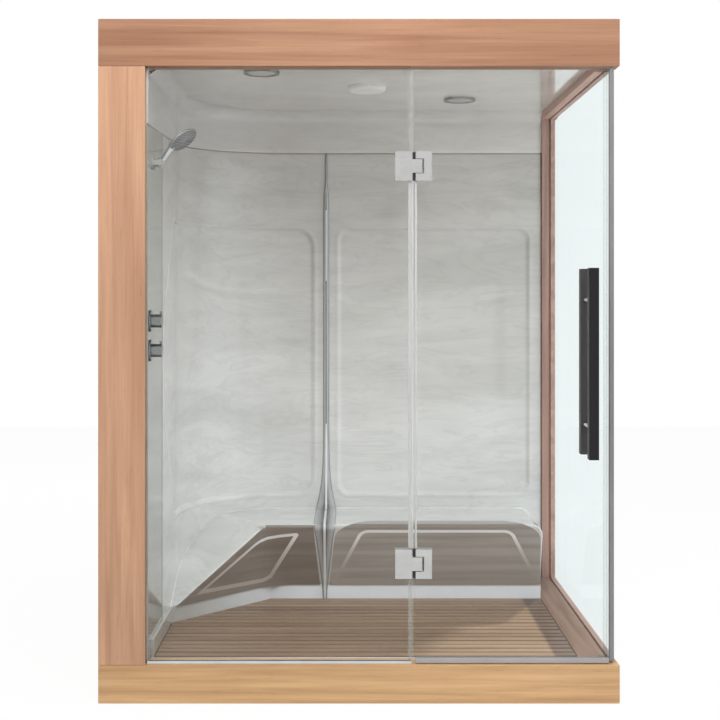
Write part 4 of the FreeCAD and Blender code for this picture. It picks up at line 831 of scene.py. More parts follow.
class Coat:
    """The steam room's other finishes."""

    # painted shade: the shells darken and warm towards the top of the walls
    SHELL = Acrylic("shell_acrylic", (0.790, 0.790, 0.785), (0.650, 0.650, 0.640), 1.3, shade=(0.83, 0.785, 0.755))
    # painted shade: the front wing is the walls' acrylic in a darker tone for the shade that falls on it
    WING_IN_SHADE = Acrylic("wing_acrylic_painted_shade", (0.400, 0.394, 0.350), (0.330, 0.325, 0.288), 1.2)
    # painted shade: the ceiling darkens towards the left
    CEILING = Acrylic("ceiling_acrylic", (0.870, 0.840, 0.800), (0.740, 0.714, 0.680), 0.8,
                      shade=(0.80, 0.79, 0.80), shade_way=Way.X, shade_span=(0.75, -0.65))
    # painted shade: the tray's skirt darkens towards the left corner
    TRAY = Acrylic("tray_acrylic", (0.885, 0.925, 0.980), (0.845, 0.885, 0.940), 0.4,
                   shade=(0.56, 0.52, 0.465), shade_way=Way.X, shade_span=(-0.20, -0.60))
    # painted reflection: the risers' taupe tones and bands stand for the wooden deck mirrored in them; the side
    # riser's deeper tone adds painted shade, and the lip takes the same tones
    APRON = Lacquer("apron_painted_deck_reflection", (0.450, 0.420, 0.390), (0.351, 0.324, 0.297), 0.16, 1.0)
    SIDE_APRON = Lacquer("side_apron_painted_deck_reflection", (0.276, 0.233, 0.203), (0.214, 0.177, 0.150), 0.16, 1.0)
    LIP = Lacquer("apron_lip_painted_deck_reflection", (0.280, 0.246, 0.215), (0.226, 0.196, 0.168), 0.22, 0.7)
    # painted highlight: the ridge runs from the riser's tone up to near white at its top
    RIDGE_HIGHLIGHT = RidgeHighlight("apron_ridge_painted_highlight", (0.960, 0.960, 0.970), (0.420, 0.372, 0.326), 225.0, 365.0)
    GLASS = Pane("clear_glass", (0.985, 0.992, 0.990))
    SIDE_GLASS = Pane("side_clear_glass", (0.955, 0.985, 0.990), 1.06)
    CHANNEL = Metal("satin_channel", (0.72, 0.73, 0.74), 0.3, Way.X)
    HINGE = Metal("satin_hinge_metal", (0.62, 0.618, 0.612), 0.26, Way.X, 0.6)
    BRIGHT = Metal("bright_chrome", (0.86, 0.87, 0.88), 0.08, brushed=0.1)
    # painted shade and highlight: the strip's tones by sideways turn stand for light falling on a chrome strip
    STRIP_SHADED = TurnShadedTrim("strip_metal_painted_shade", ((0.0, (0.11, 0.114, 0.118)), (0.05, (0.16, 0.165, 0.17)),
                                   (0.12, (0.40, 0.41, 0.415)), (0.28, (0.52, 0.53, 0.535)),
                                   (0.6, (0.40, 0.405, 0.41)), (0.9, (0.20, 0.205, 0.21))))
    # painted highlight: the bead's near-white tone stands for the bright line of light along the strip's crown
    BEAD_HIGHLIGHT = Metal("strip_bead_painted_highlight", (0.93, 0.94, 0.95), 0.3, brushed=0.15, metallic=0.25)
    RING = Metal("ring_chrome", (0.34, 0.34, 0.34), 0.14, brushed=0.1)
    KNOB = Metal("knob_chrome", (0.25, 0.265, 0.262), 0.12, brushed=0.1)
    BRACKET = Metal("bracket_satin", (0.40, 0.40, 0.385), 0.4, brushed=0.1, metallic=0.1)
    # painted reflection: the inner bar is as black as the outer one, lightened for the glass's reflection over it
    INNER_HANDLE_PAINTED_REFLECTION = Metal("inner_handle_painted_glass_reflection", (0.075, 0.074, 0.075), 0.4, brushed=0.6, metallic=0.5)
    HANDLE = Metal("dark_handle_metal", (0.022, 0.021, 0.021), 0.36, brushed=0.6, metallic=0.7)
    SEAM = Film("milky_seam_strip", (0.80, 0.81, 0.81), 0.4)
    SLIM_SEAM = Film("clear_seam_strip", (0.62, 0.66, 0.63), 0.14)
    GREY_SEAL = Moulded("grey_strike_strip", (0.23, 0.23, 0.235), 0.4)
    SWEEP = Moulded("grey_door_sweep", (0.42, 0.41, 0.42), 0.4)
    DARK_SEAL = Moulded("dark_gasket", (0.02, 0.02, 0.022), 0.5)
    SHOWER = Metal("shower_chrome", (0.62, 0.63, 0.64), 0.14, brushed=0.1)
    SPRAY = Moulded("spray_plate", (0.30, 0.305, 0.31), 0.32)
    NOZZLE = Moulded("nozzle_rubber", (0.05, 0.05, 0.052), 0.5)
    LENS = Moulded("frosted_lens", (0.52, 0.51, 0.49), 0.3, 300.0, 0.02)
    LAMP = Moulded("lamp_opal", (0.84, 0.83, 0.80), 0.28, 300.0, 0.05)
    BRASS = Metal("valve_brass", (0.62, 0.44, 0.20), 0.32)
    DRAIN = Moulded("drain_plastic", (0.30, 0.31, 0.32), 0.45)
    FOOT = Moulded("foot_plastic", (0.06, 0.06, 0.06), 0.5)
    CASE = Moulded("generator_case", (0.62, 0.63, 0.64), 0.38)


@dataclass
class Assembly:
    """A group of pieces that are shaped and dressed together."""

    title: ClassVar[str] = ""

    def build(self) -> None:
        """Shapes and dresses the group's pieces."""
        raise NotImplementedError

    def coat(self, node: str, finish: Finish) -> None:
        """Keeps a CAD node's shape and gives it a finish.

        Args:
            node: The node's name.
            finish: Its finish.
        """
        for slot in frame["nodes"][node].material_slots:
            slot.material = finish.material()
        LOG.info("%s: %s keeps its shape, finish %s", self.title, node, finish.name)

    def stand_for(self, piece: Piece, node: str, finish: Finish | None = None) -> Piece:
        """Puts a piece in the place of a CAD node, on the node's body, dresses it when a finish is given, and hides
        the node.

        Args:
            piece: The finished piece.
            node: The node that it replaces.
            finish: Its finish, or None where its faces already have theirs.

        Returns:
            The same piece.
        """
        if finish:
            Bench.dress(piece, finish)
        body = next(b for b, members in frame["record"]["behaviour"]["bodies"].items() if node in members)
        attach(piece, body)
        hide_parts(node)
        LOG.info("%s: %s stands for %s", self.title, piece.name, node)
        return piece

    def eased(self, node: str, finish: Finish, width: float, segments: int = 2, angle: float = 40.0,
              clamp: bool = True) -> Piece:
        """Replaces a CAD node by the same form with rounded edges, sizes as for Bench.ease."""
        return self.stand_for(Bench.ease(Bench.copy_of(node), width, segments, angle, clamp), node, finish)


@dataclass
class TimberFrame(Assembly):
    """Plinth, posts, roof beams, cladding and the side window's frame."""

    title: ClassVar[str] = "timber frame"
    arris: float = 2.2
    fine_arris: float = 1.0

    def build(self) -> None:
        """Eases every timber's edges and runs its grain lengthways."""
        for node, finish in (("front_plinth_beam", Wood.PLINTH), ("rear_plinth_beam", Wood.PLINTH),
                             ("left_plinth_beam", Wood.SIDE_PLINTH), ("right_plinth_beam", Wood.SIDE_PLINTH),
                             ("front_roof_beam", Wood.TOP_BEAM), ("rear_roof_beam", Wood.TOP_BEAM),
                             ("left_roof_beam", Wood.SIDE_BEAM), ("right_roof_beam", Wood.SIDE_BEAM),
                             ("left_front_post", Wood.POST), ("left_rear_post", Wood.POST),
                             ("right_rear_stile", Wood.STILE), ("side_top_rail", Wood.RAIL),
                             ("side_sill", Wood.SILL)):
            self.eased(node, finish, self.arris)
        for node, finish in (("left_cladding", Wood.CLADDING), ("rear_cladding", Wood.CLADDING),
                             ("wall_studs", Wood.CLADDING), ("roof_board", Wood.ROOF),
                             ("side_glazing_beads", Wood.RAIL)):
            self.eased(node, finish, self.fine_arris)


@dataclass
class WetFloor(Assembly):
    """Tray, drain, slatted deck and feet."""

    title: ClassVar[str] = "wet floor"
    slat_round: float = 1.3
    batten_round: float = 1.0
    tray_round: float = 3.0
    case_round: float = 2.0

    def build(self) -> None:
        """Rounds the slats and dresses the tray and what carries it."""
        self.eased("floor_slats", Wood.DECK, self.slat_round, segments=3)
        self.eased("floor_battens", Wood.BATTEN, self.batten_round)
        self.eased("shower_tray", Coat.TRAY, self.tray_round, segments=3)
        self.coat("drain_body", Coat.DRAIN)
        self.coat("drain_strainer", Coat.BRIGHT)
        self.coat("levelling_feet", Coat.FOOT)
        self.eased("steam_generator", Coat.CASE, self.case_round)


@dataclass
class Shells(Assembly):
    """Acrylic walls and seats, ceiling and joint strip."""

    title: ClassVar[str] = "shells"
    soft_edge: float = 6.0
    strip_x: float = -120.0
    strip_stations: Sequence[tuple[float, float, float, float, float]] = (
        (490, 1814, 180, 3.5, 6), (490, 1702, 180, 4, 6.5), (490, 1655, 180, 10, 8), (490, 1590, 180, 12, 8),
        (490, 1310, 180, 12, 8), (490, 745, 180, 12, 8), (490, 660, 180, 12.5, 8), (490, 580, 180, 14.5, 8),
        (490, 520, 180, 19, 8), (490, 475, 180, 26, 8), (490, 440, 180, 33, 8.5), (487.7, 428.5, 157.5, 35.5, 9.5),
        (481.2, 418.8, 135, 37.5, 10), (471.5, 412.3, 112.5, 39, 9.5), (458, 410, 90, 40, 8.5), (330, 410, 90, 41, 8),
        (200, 410, 90, 41, 8), (178, 410, 92, 41, 8), (168, 408.6, 108, 40.7, 8.3), (162, 404, 140, 40, 8.5),
        (159.8, 397, 168, 39, 8.3), (161.5, 387, 190, 37, 8), (173, 351, 196.5, 31, 8), (184, 312, 196.5, 26.2, 8),
        (196, 273, 196.5, 22, 8), (213, 214, 196.5, 15, 8), (224, 178, 190, 11.5, 8), (225, 160, 180, 10, 8),
        (225, 122.5, 180, 8, 8))
    bead_runs: Sequence[tuple[int, int]] = ((3, 5), (5, 29))
    bead_widths: tuple[float, float] = (1.8, 4.6)
    bead_widens: float = 700.0
    bead_share: float = 0.32
    bead_sunk: float = 0.9
    bead_height: float = 2.6
    recess_y: float = 494.0
    recess_middle: float = 990.5
    recess_shrink: float = 0.9773
    right_narrowing: float = 0.968
    left_narrowing: tuple[float, float] = (12.5, 14.0)
    recess_deeper: float = 2.6
    recess_round: float = 52.0
    right_recess: tuple[Point, Point] = ((-75.0, 490.5, 461.0), (686.0, 497.5, 1520.0))
    left_sides: tuple[float, float] = (462.0, 1519.0)
    left_span: tuple[float, float] = (460.0, 1521.0)
    left_depths: tuple[float, float] = (400.4, 407.2)
    front_end: tuple[Point, Point] = ((-658.5, -199.0, 460.0), (-650.5, -180.0, 1521.0))
    front_part: tuple[Point, Point] = ((-658.5, -199.0, 460.0), (-650.5, -100.0, 1521.0))
    nose: tuple[Point, Point] = ((-336.0, -560.0, 396.0), (-124.0, 168.0, 408.5))
    rim_width: float = 11.0
    rim_height: float = 2.4
    slope_round: float = 20.0
    seat_z: float = 410.0
    corner: tuple[float, float] = (-251.0, 90.0)
    past_corner: float = 40.0
    side_lengths: tuple[float, float] = (4.0, 30.0)
    right_end_x: float = -185.0
    front_end_y: float = -170.0
    floor_radius: float = 404.0
    sweep_cuts: int = 28
    sweep_height: float = 1030.0
    sweep_band: float = 25.0
    sweep_back: float = 178.0
    sweep_out: float = 216.0
    sweep_reach: float = 520.0

    def slope(self, value: Point, about: Point) -> None:
        """Scales the picked recess floor about a place in millimetres, so that its sides slope."""
        bpy.ops.transform.resize(value=value, center_override=metres(*about))

    def raise_rim(self, recess: Callable[[Vector, Vector], bool], out: Callable[[Vector], Vector]) -> None:
        """Raises a low rolled rim round a recess of the open piece.

        Args:
            recess: Tells whether a face, by its middle and normal, is the recess's floor or side.
            out: Gives the direction into the room at a place on the wall.
        """
        Bench.pick_faces(recess)
        bpy.ops.mesh.inset(thickness=self.rim_width * MM, use_outset=True, use_even_offset=True)
        Bench.pick_faces(recess)
        bpy.ops.mesh.region_to_loop()
        mesh = bmesh.from_edit_mesh(bpy.context.object.data)
        for point in (v for v in mesh.verts if v.select):
            point.co += out(point.co) * self.rim_height * MM
        bmesh.update_edit_mesh(bpy.context.object.data)

    def right_shell(self) -> None:
        """Deepens the right back recess, slopes its sides and rounds the shell's edges."""
        piece = Bench.copy_of("right_seat_shell")
        Bench.open(piece)
        Bench.pick_faces(lambda middle, normal: normal.y < -FACING and abs(middle.y - self.recess_y * MM) < NEAR)
        across = (self.right_recess[0][0] + self.right_recess[1][0]) / 2
        self.slope((self.right_narrowing, 1.0, self.recess_shrink), (across, self.recess_y, self.recess_middle))
        bpy.ops.transform.translate(value=(0, self.recess_deeper * MM, 0))
        self.raise_rim(lambda middle, normal: normal.y < -0.5 and within(middle, *self.right_recess),
                       lambda place: Vector((0, -1, 0)))
        Bench.close()
        Bench.ease(piece, self.soft_edge, segments=4, angle=12.0, clamp=False)
        self.stand_for(piece, "right_seat_shell", Coat.SHELL)

    def left_shell(self) -> None:
        """Deepens the left recess, slopes its sides, sweeps its front end and rounds the shell's edges."""
        piece = Bench.copy_of("left_seat_shell")
        x, y = self.corner
        deep = self.floor_radius
        low, high = (height * MM for height in self.left_span)
        nearest, farthest = (depth * MM for depth in self.left_depths)

        def out(v: Vector) -> Vector:
            """Gives the way into the room at a place on the wall.

            Args:
                v: The place.

            Returns:
                The way, as long as the place is far from the corner's axis.
            """
            if v.x < x * MM and v.y > y * MM:
                return Vector((x * MM - v.x, y * MM - v.y, 0))
            return Vector((x * MM - v.x, 0, 0)) if x * MM - v.x > v.y - y * MM else Vector((0, y * MM - v.y, 0))

        def floor(v: Vector) -> bool:
            """Tells whether a point lies on the floor of the recess."""
            return low < v.z < high and abs(out(v).length - deep * MM) < NEAR

        def inside(middle: Vector, normal: Vector) -> bool:
            """Tells whether a face is the floor or a side of the recess."""
            return (low < middle.z < high and nearest < out(middle).length < farthest
                    and normal.dot(out(middle).normalized()) > 0.4)

        def side_corner(a: Vector, b: Vector) -> bool:
            """Tells whether an edge runs up the recess's side at one of its four corners.

            Args:
                a: One end of the edge.
                b: Its other end.

            Returns:
                True for such an edge.
            """
            shortest, longest = (length * MM for length in self.side_lengths)
            return (floor(a) != floor(b) and shortest < (a - b).length < longest
                    and low < min(a.z, b.z) and max(a.z, b.z) < high
                    and (max(a.y, b.y) < self.front_end_y * MM or min(a.x, b.x) > self.right_end_x * MM))

        def seat_edge(a: Vector, b: Vector) -> bool:
            """Tells whether an edge is the seat's long slanting front edge."""
            return (all(abs(end.z - self.seat_z * MM) < NEAR for end in (a, b)) and (a - b).length > LONG
                    and (a.x - b.x) * (a.y - b.y) < -LONG * LONG / 2)

        Bench.open(piece)
        Bench.pick_faces(lambda middle, normal: abs(normal.z) > FACING and any(
            abs(middle.z - height * MM) < NEAR for height in self.left_sides))
        bpy.ops.mesh.quads_convert_to_tris(quad_method="BEAUTY", ngon_method="BEAUTY")
        bpy.ops.mesh.tris_convert_to_quads(face_threshold=math.radians(60), shape_threshold=math.radians(150))
        Bench.pick_points(floor)
        self.slope((1.0, 1.0, self.recess_shrink), (x, y, self.recess_middle))
        more = (deep + self.recess_deeper) / deep
        self.slope((more, more, 1.0), (x, y, self.recess_middle))
        deep += self.recess_deeper
        Bench.pick_points(lambda v: floor(v) and v.x > (x + self.past_corner) * MM)
        bpy.ops.transform.translate(value=(-self.left_narrowing[0] * MM, 0, 0))
        Bench.pick_points(lambda v: floor(v) and v.y < (y - self.past_corner) * MM)
        bpy.ops.transform.translate(value=(0, self.left_narrowing[1] * MM, 0))
        Bench.pick_edges(side_corner)
        bpy.ops.mesh.bevel(offset=self.recess_round * MM, segments=7, affect="EDGES")
        Bench.pick_edges(lambda a, b: abs(a.z - b.z) > LONG and within(a, *self.front_end)
                         and within(b, *self.front_end))
        bpy.ops.mesh.subdivide(number_cuts=self.sweep_cuts)
        Bench.pick_points(lambda v: within(v, *self.front_part))
        bpy.ops.mesh.hide(unselected=True)
        bpy.ops.mesh.select_all(action="SELECT")
        bpy.ops.transform.translate(value=(0, self.sweep_back * MM, 0))
        Bench.pick_points(lambda v: abs(v.z - self.sweep_height * MM) < self.sweep_band * MM)
        bpy.ops.transform.translate(value=(0, -self.sweep_out * MM, 0), use_proportional_edit=True,
                                    proportional_edit_falloff="SMOOTH", proportional_size=self.sweep_reach * MM)
        bpy.ops.mesh.reveal(select=False)
        self.raise_rim(inside, lambda v: out(v).normalized())
        Bench.pick_edges(seat_edge)
        bpy.ops.mesh.bevel(offset=self.slope_round * MM, segments=6, affect="EDGES")
        Bench.close()
        Bench.ease(piece, self.soft_edge, segments=4, angle=12.0, clamp=False)
        # painted reflection: the nose's forward faces take the lip's dark tones, carrying the riser's painted deck
        # reflection up over the white shell
        Bench.open(Bench.dress(piece, Coat.SHELL, Coat.LIP))
        Bench.pick_faces(lambda middle, normal: normal.y < -0.2 and within(middle, *self.nose))
        Bench.paint(piece)
        self.stand_for(piece, "left_seat_shell")

    def strip(self) -> None:
        """Lofts the joint strip down the wall, over the seat and down to the deck, with a near-white bead on its crown
        that is a painted highlight.
        """
        across = Vector((1, 0, 0))
        narrow, wide = self.bead_widths
        base, bead = [], []
        for y, z, turn, half_width, crown in self.strip_stations:
            up = Vector((0, math.cos(math.radians(turn)), math.sin(math.radians(turn))))
            middle = metres(self.strip_x, y, z)
            base.append((middle, across, up, half_width, crown))
            bead_width = narrow if z > self.bead_widens else min(wide, self.bead_share * half_width)
            bead.append((middle + up * (crown - self.bead_sunk) * MM, across, up, bead_width, self.bead_height))
        low = Bench.dress(Bench.lofted("strip_base", base), Coat.STRIP_SHADED)
        runs = [Bench.dress(Bench.lofted("strip_bead", bead[start:stop], sides=12), Coat.BEAD_HIGHLIGHT)
                for start, stop in self.bead_runs]
        piece = Bench.smooth(Bench.join("joint_strip_dressed", [low, *runs]), 60.0)
        self.stand_for(piece, "joint_strip")

    def build(self) -> None:
        """Softens the moulded edges and dresses the acrylic."""
        self.eased("left_wall_panel", Coat.WING_IN_SHADE, self.soft_edge, segments=4, angle=20.0, clamp=False)
        self.left_shell()
        self.right_shell()
        self.eased("ceiling_dome", Coat.CEILING, self.soft_edge, segments=4, angle=20.0, clamp=False)
        self.strip()


@dataclass
class SeatAprons(Assembly):
    """Gloss risers under the two seats, each with a sunk field inside a moulded ridge that carries a painted
    highlight.
    """

    title: ClassVar[str] = "seat aprons"
    ridge: float = 13.0
    sink: float = 3.0
    crease_round: float = 62.0
    edge_round: float = 1.2
    lip_round: float = 2.2
    lip_proud: float = 1.2
    top: float = 397.6
    right_facing: Point = (0.0, -0.959, -0.283)
    lip_facing: Point = (0.0, -0.98, 0.2)
    left_facing: Point = (0.08, -0.972, 0.222)
    right_field: Sequence[Point] = ((-90.0, 217.0, 184.0), (3.0, 162.0, 371.0), (9.5, 159.7, 378.6),
                                    (18.0, 157.9, 384.8), (28.5, 156.6, 389.0), (42.0, 156.0, 391.0),
                                    (541.0, 156.0, 391.0), (554.5, 156.6, 389.0), (565.0, 157.9, 384.8),
                                    (573.5, 159.7, 378.6), (580.5, 162.0, 371.0), (678.0, 217.0, 184.0))
    right_lip: tuple[Point, Point] = ((-66.0, 154.0, 410.4), (650.0, 214.0, 413.4))
    right_corner: Sequence[Point] = ((-84.0, 168.0, 350.0), (-80.5, 163.0, 367.0), (-71.0, 158.5, 384.0),
                                     (-55.0, 155.0, 396.5), (-37.0, 154.0, 406.0), (-18.0, 154.0, 413.5),
                                     (4.0, 154.0, 420.0), (44.0, 154.0, 425.5))
    right_end: Sequence[Point] = ((545.0, 154.0, 425.5), (585.0, 154.0, 420.0), (606.0, 154.0, 414.0),
                                  (624.0, 154.2, 407.0), (641.0, 154.8, 398.6), (657.0, 157.0, 389.0),
                                  (669.0, 161.0, 376.5), (676.0, 166.5, 357.0), (679.0, 186.0, 290.0),
                                  (683.5, 215.0, 195.0))
    crease: tuple[Point, Point] = ((-338.5, 0.0, 0.0), (-318.0, 220.5, 500.0))
    left_field: Sequence[Point] = ((-567.2, -33.9, 200.6), (-374.2, 128.0, 345.8), (-356.0, 146.0, 356.0),
                                   (-331.0, 166.0, 363.4), (-284.0, 161.7, 372.1), (-222.0, 159.7, 378.7),
                                   (-214.5, 162.0, 370.9), (-304.0, 205.0, 225.0), (-318.0, 212.0, 202.0),
                                   (-346.1, 189.2, 191.3))

    def walls(self, outline: Sequence[Point], facing: Point, closed: bool) -> list[tuple[Vector, Vector]]:
        """Gives the planes that stand on an outline's edges.

        Args:
            outline: Corner points, mm, going clockwise as seen from the front.
            facing: Direction from the riser to the viewer.
            closed: True to join the last point to the first.

        Returns:
            A point and the outward direction of each plane.
        """
        points = [metres(*point) for point in outline]
        pairs = list(zip(points, points[1:])) + ([(points[-1], points[0])] if closed else [])
        return [(a, Vector(facing).cross(b - a).normalized()) for a, b in pairs]

    def sink_field(self, piece: Piece, walls: Sequence[tuple[Vector, Vector]], facing: Point,
                   finish: Finish) -> None:
        """Scores a field on a riser and sinks it inside a sloping ridge, which takes the painted highlight.

        Args:
            piece: The riser.
            walls: The field's outline as planes.
            facing: Direction from the riser to the viewer.
            finish: The riser's finish.
        """
        Bench.open(Bench.dress(piece, finish, Coat.RIDGE_HIGHLIGHT))
        for point, outward in walls:
            bpy.ops.mesh.select_all(action="SELECT")
            bpy.ops.mesh.bisect(plane_co=point, plane_no=outward)
        look = Vector(facing)
        Bench.pick_faces(lambda middle, normal: normal.dot(look) > 0.3 and all(
            (middle - point).dot(outward) < 0.0 for point, outward in walls))
        bpy.ops.mesh.inset(thickness=self.ridge * MM, depth=-self.sink * MM, use_select_inset=True)
        # painted highlight: the sloping ridge ring takes the second, pale finish
        Bench.paint(piece)

    def cut_top(self, piece: Piece) -> None:
        """Starts editing a riser and cuts it off level under the seat."""
        Bench.open(piece, everything=True)
        bpy.ops.mesh.bisect(plane_co=(0, 0, self.top * MM), plane_no=(0, 0, 1), clear_outer=True, use_fill=True)

    def right(self) -> None:
        """Shapes the right riser: rounded upper corners and a wide field."""
        piece = Bench.copy_of("right_seat_apron")
        self.cut_top(piece)
        self.trim(self.right_facing)
        Bench.close()
        self.sink_field(piece, self.walls(self.right_field, self.right_facing, False), self.right_facing,
                        Coat.APRON)
        Bench.ease(piece, self.edge_round, angle=50.0, clamp=False)
        piece = Bench.join("right_seat_apron_dressed", [piece, self.lip(*self.right_lip)])
        self.stand_for(piece, "right_seat_apron")

    def trim(self, facing: Point) -> None:
        """Cuts the open piece to the rounded upper corners of the right riser.

        Args:
            facing: The direction that the cuts run in.
        """
        for outline in (self.right_corner, self.right_end):
            for point, outward in self.walls(outline, facing, False):
                bpy.ops.mesh.select_all(action="SELECT")
                bpy.ops.mesh.bisect(plane_co=point, plane_no=outward, clear_outer=True, use_fill=True)

    def lip(self, low: Point, high: Point) -> Piece:
        """Makes the right riser's upper edge, rolled back over the front of the seat.

        Args:
            low: The lip's lowest corner over the seat, mm.
            high: Its highest corner.

        Returns:
            The lip.
        """
        lip = Bench.block("lip", metres(*low), metres(*high))
        Bench.open(lip)
        Bench.pick_edges(lambda a, b: abs(a.z - b.z) > 0.002 and min(a.y, b.y) > (high[1] - 1) * MM)
        bpy.ops.mesh.bevel(offset=0.5 * (high[1] - low[1]) * MM, segments=8, affect="EDGES")
        Bench.pick_faces(lambda middle, normal: normal.y < -FACING)
        bpy.ops.mesh.extrude_region_move(TRANSFORM_OT_translate={"value": (0, -self.lip_proud * MM, 0)})
        Bench.pick_faces(lambda middle, normal: normal.z < -FACING and middle.y < low[1] * MM)
        bpy.ops.mesh.extrude_region_move(TRANSFORM_OT_translate={"value": (0, 0, (self.top - low[2]) * MM)})
        self.trim(self.lip_facing)
        Bench.close()
        return Bench.ease(Bench.dress(lip, Coat.LIP), self.lip_round, segments=3, angle=50.0)

    def left(self) -> None:
        """Shapes the left riser: its two faces flow into each other, and the field crosses both."""
        piece = Bench.copy_of("left_seat_apron")
        self.cut_top(piece)
        Bench.pick_edges(lambda a, b: abs(a.z - b.z) > LONG and within(a, *self.crease) and within(b, *self.crease))
        bpy.ops.mesh.bevel(offset=self.crease_round * MM, offset_type="OFFSET", segments=7, affect="EDGES")
        Bench.close()
        self.sink_field(piece, self.walls(self.left_field, self.left_facing, True), self.left_facing,
                        Coat.SIDE_APRON)
        Bench.smooth(piece, 30.0)
        self.stand_for(piece, "left_seat_apron")

    def build(self) -> None:
        """Shapes both risers."""
        self.right()
        self.left()


@dataclass
class Lights(Assembly):
    """Two downlights and the opal lamp."""

    title: ClassVar[str] = "lights"

    def build(self) -> None:
        """Dresses the rings, lenses and lamp."""
        self.coat("downlight_rings", Coat.RING)
        self.coat("downlight_lenses", Coat.LENS)
        self.coat("ceiling_lamp", Coat.LAMP)


@dataclass
class Glazing(Assembly):
    """Fixed pane, door pane, side pane, their channels and seals."""

    title: ClassVar[str] = "glazing"
    pane_arris: float = 0.8
    channel_arris: float = 0.6
    seal_round: float = 1.0
    strip_round: float = 0.5
    seam_span: tuple[float, float] = (462.0, 1614.0)
    strip_low: Point = (171.3, -540.6, 474.0)
    strip_high: Point = (178.5, -527.4, 1602.0)
    groove_wall: float = 2.4
    groove_depth: float = 6.2

    def build(self) -> None:
        """Dresses the panes and what holds them."""
        for node, finish in (("fixed_glass", Coat.GLASS), ("door_glass", Coat.GLASS),
                             ("side_glass", Coat.SIDE_GLASS)):
            self.eased(node, finish, self.pane_arris)
        self.eased("fixed_glass_channel", Coat.CHANNEL, self.channel_arris)
        self.eased("side_glass_channel", Coat.SLIM_SEAM, self.channel_arris)
        self.eased("strike_seal", Coat.GREY_SEAL, self.seal_round)
        self.eased("door_sweep", Coat.SWEEP, self.seal_round)
        self.seam()

    def seam(self) -> None:
        """Dresses the strips along the hinge side: milky between the hinges, clear beyond them."""
        piece = Bench.ease(Bench.copy_of("hinge_side_seals"), self.pane_arris)
        Bench.open(Bench.dress(piece, Coat.SLIM_SEAM, Coat.SEAM))
        low, high = self.seam_span
        Bench.pick_faces(lambda middle, normal: low * MM < middle.z < high * MM)
        Bench.paint(piece)
        self.stand_for(piece, "hinge_side_seals")
        edge = Bench.block("door_edge_strip", metres(*self.strip_low), metres(*self.strip_high))
        Bench.open(edge)
        Bench.pick_faces(lambda middle, normal: normal.x > FACING)
        bpy.ops.mesh.inset(thickness=self.groove_wall * MM)
        bpy.ops.mesh.extrude_region_move(TRANSFORM_OT_translate={"value": (-self.groove_depth * MM, 0, 0)})
        Bench.close()
        Bench.dress(edge, Coat.SEAM)
        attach(Bench.ease(edge, self.strip_round), "door")
        LOG.info("%s: %s closes the gap to the fixed pane", self.title, edge.name)


@dataclass
class DoorHardware(Assembly):
    """Glass-to-glass hinges and the pull handle."""

    title: ClassVar[str] = "door hardware"
    leaf_round: float = 0.9
    bar_round: float = 1.6
    standoff_round: float = 0.8
    gasket_round: float = 0.5
    gasket_hollow: float = 1.0
    gasket_wall: float = 0.2
    hinge_heights: tuple[float, float] = (427.0, 1649.0)
    hinge_slots: Sequence[tuple[Point, Point]] = (
        ((166.0, -541.0, -44.0), (174.0, -527.0, -22.0)), ((166.0, -541.0, 22.0), (174.0, -527.0, 44.0)),
        ((195.8, -546.5, -21.6), (197.9, -542.0, 21.6)))

    def build(self) -> None:
        """Eases the hinge leaves and the handle bars."""
        for node in ("hinge_fixed_leaves", "hinge_fixed_plates", "hinge_door_leaves", "hinge_door_plates"):
            self.eased(node, Coat.HINGE, self.leaf_round, segments=3)
        for node in ("hinge_fixed_screws", "hinge_door_screws", "hinge_pins"):
            self.coat(node, Coat.BRIGHT)
        self.eased("outer_handle_bar", Coat.HANDLE, self.bar_round, segments=3)
        self.eased("inner_handle_bar", Coat.INNER_HANDLE_PAINTED_REFLECTION, self.bar_round, segments=3)
        self.eased("handle_standoffs", Coat.BRIGHT, self.standoff_round)
        self.gaskets()

    def gaskets(self) -> None:
        """Fills the slots beside and beyond each hinge tongue with dark gasket."""
        pieces = []
        for hinge in self.hinge_heights:
            for low, high in self.hinge_slots:
                level = metres(0, 0, hinge)
                pieces.append(Bench.block("hinge_gasket", metres(*low) + level, metres(*high) + level))
                Bench.open(pieces[-1])
                Bench.pick_faces(lambda middle, normal: normal.x < -FACING)
                wall = self.gasket_wall * (high[1] - low[1])
                bpy.ops.mesh.inset(thickness=wall * MM, depth=-self.gasket_hollow * MM)
                Bench.close()
        piece = Bench.dress(Bench.join("hinge_gaskets", pieces), Coat.DARK_SEAL)
        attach(Bench.ease(piece, self.gasket_round), "door")
        LOG.info("%s: %s fill the hinge slots", self.title, piece.name)


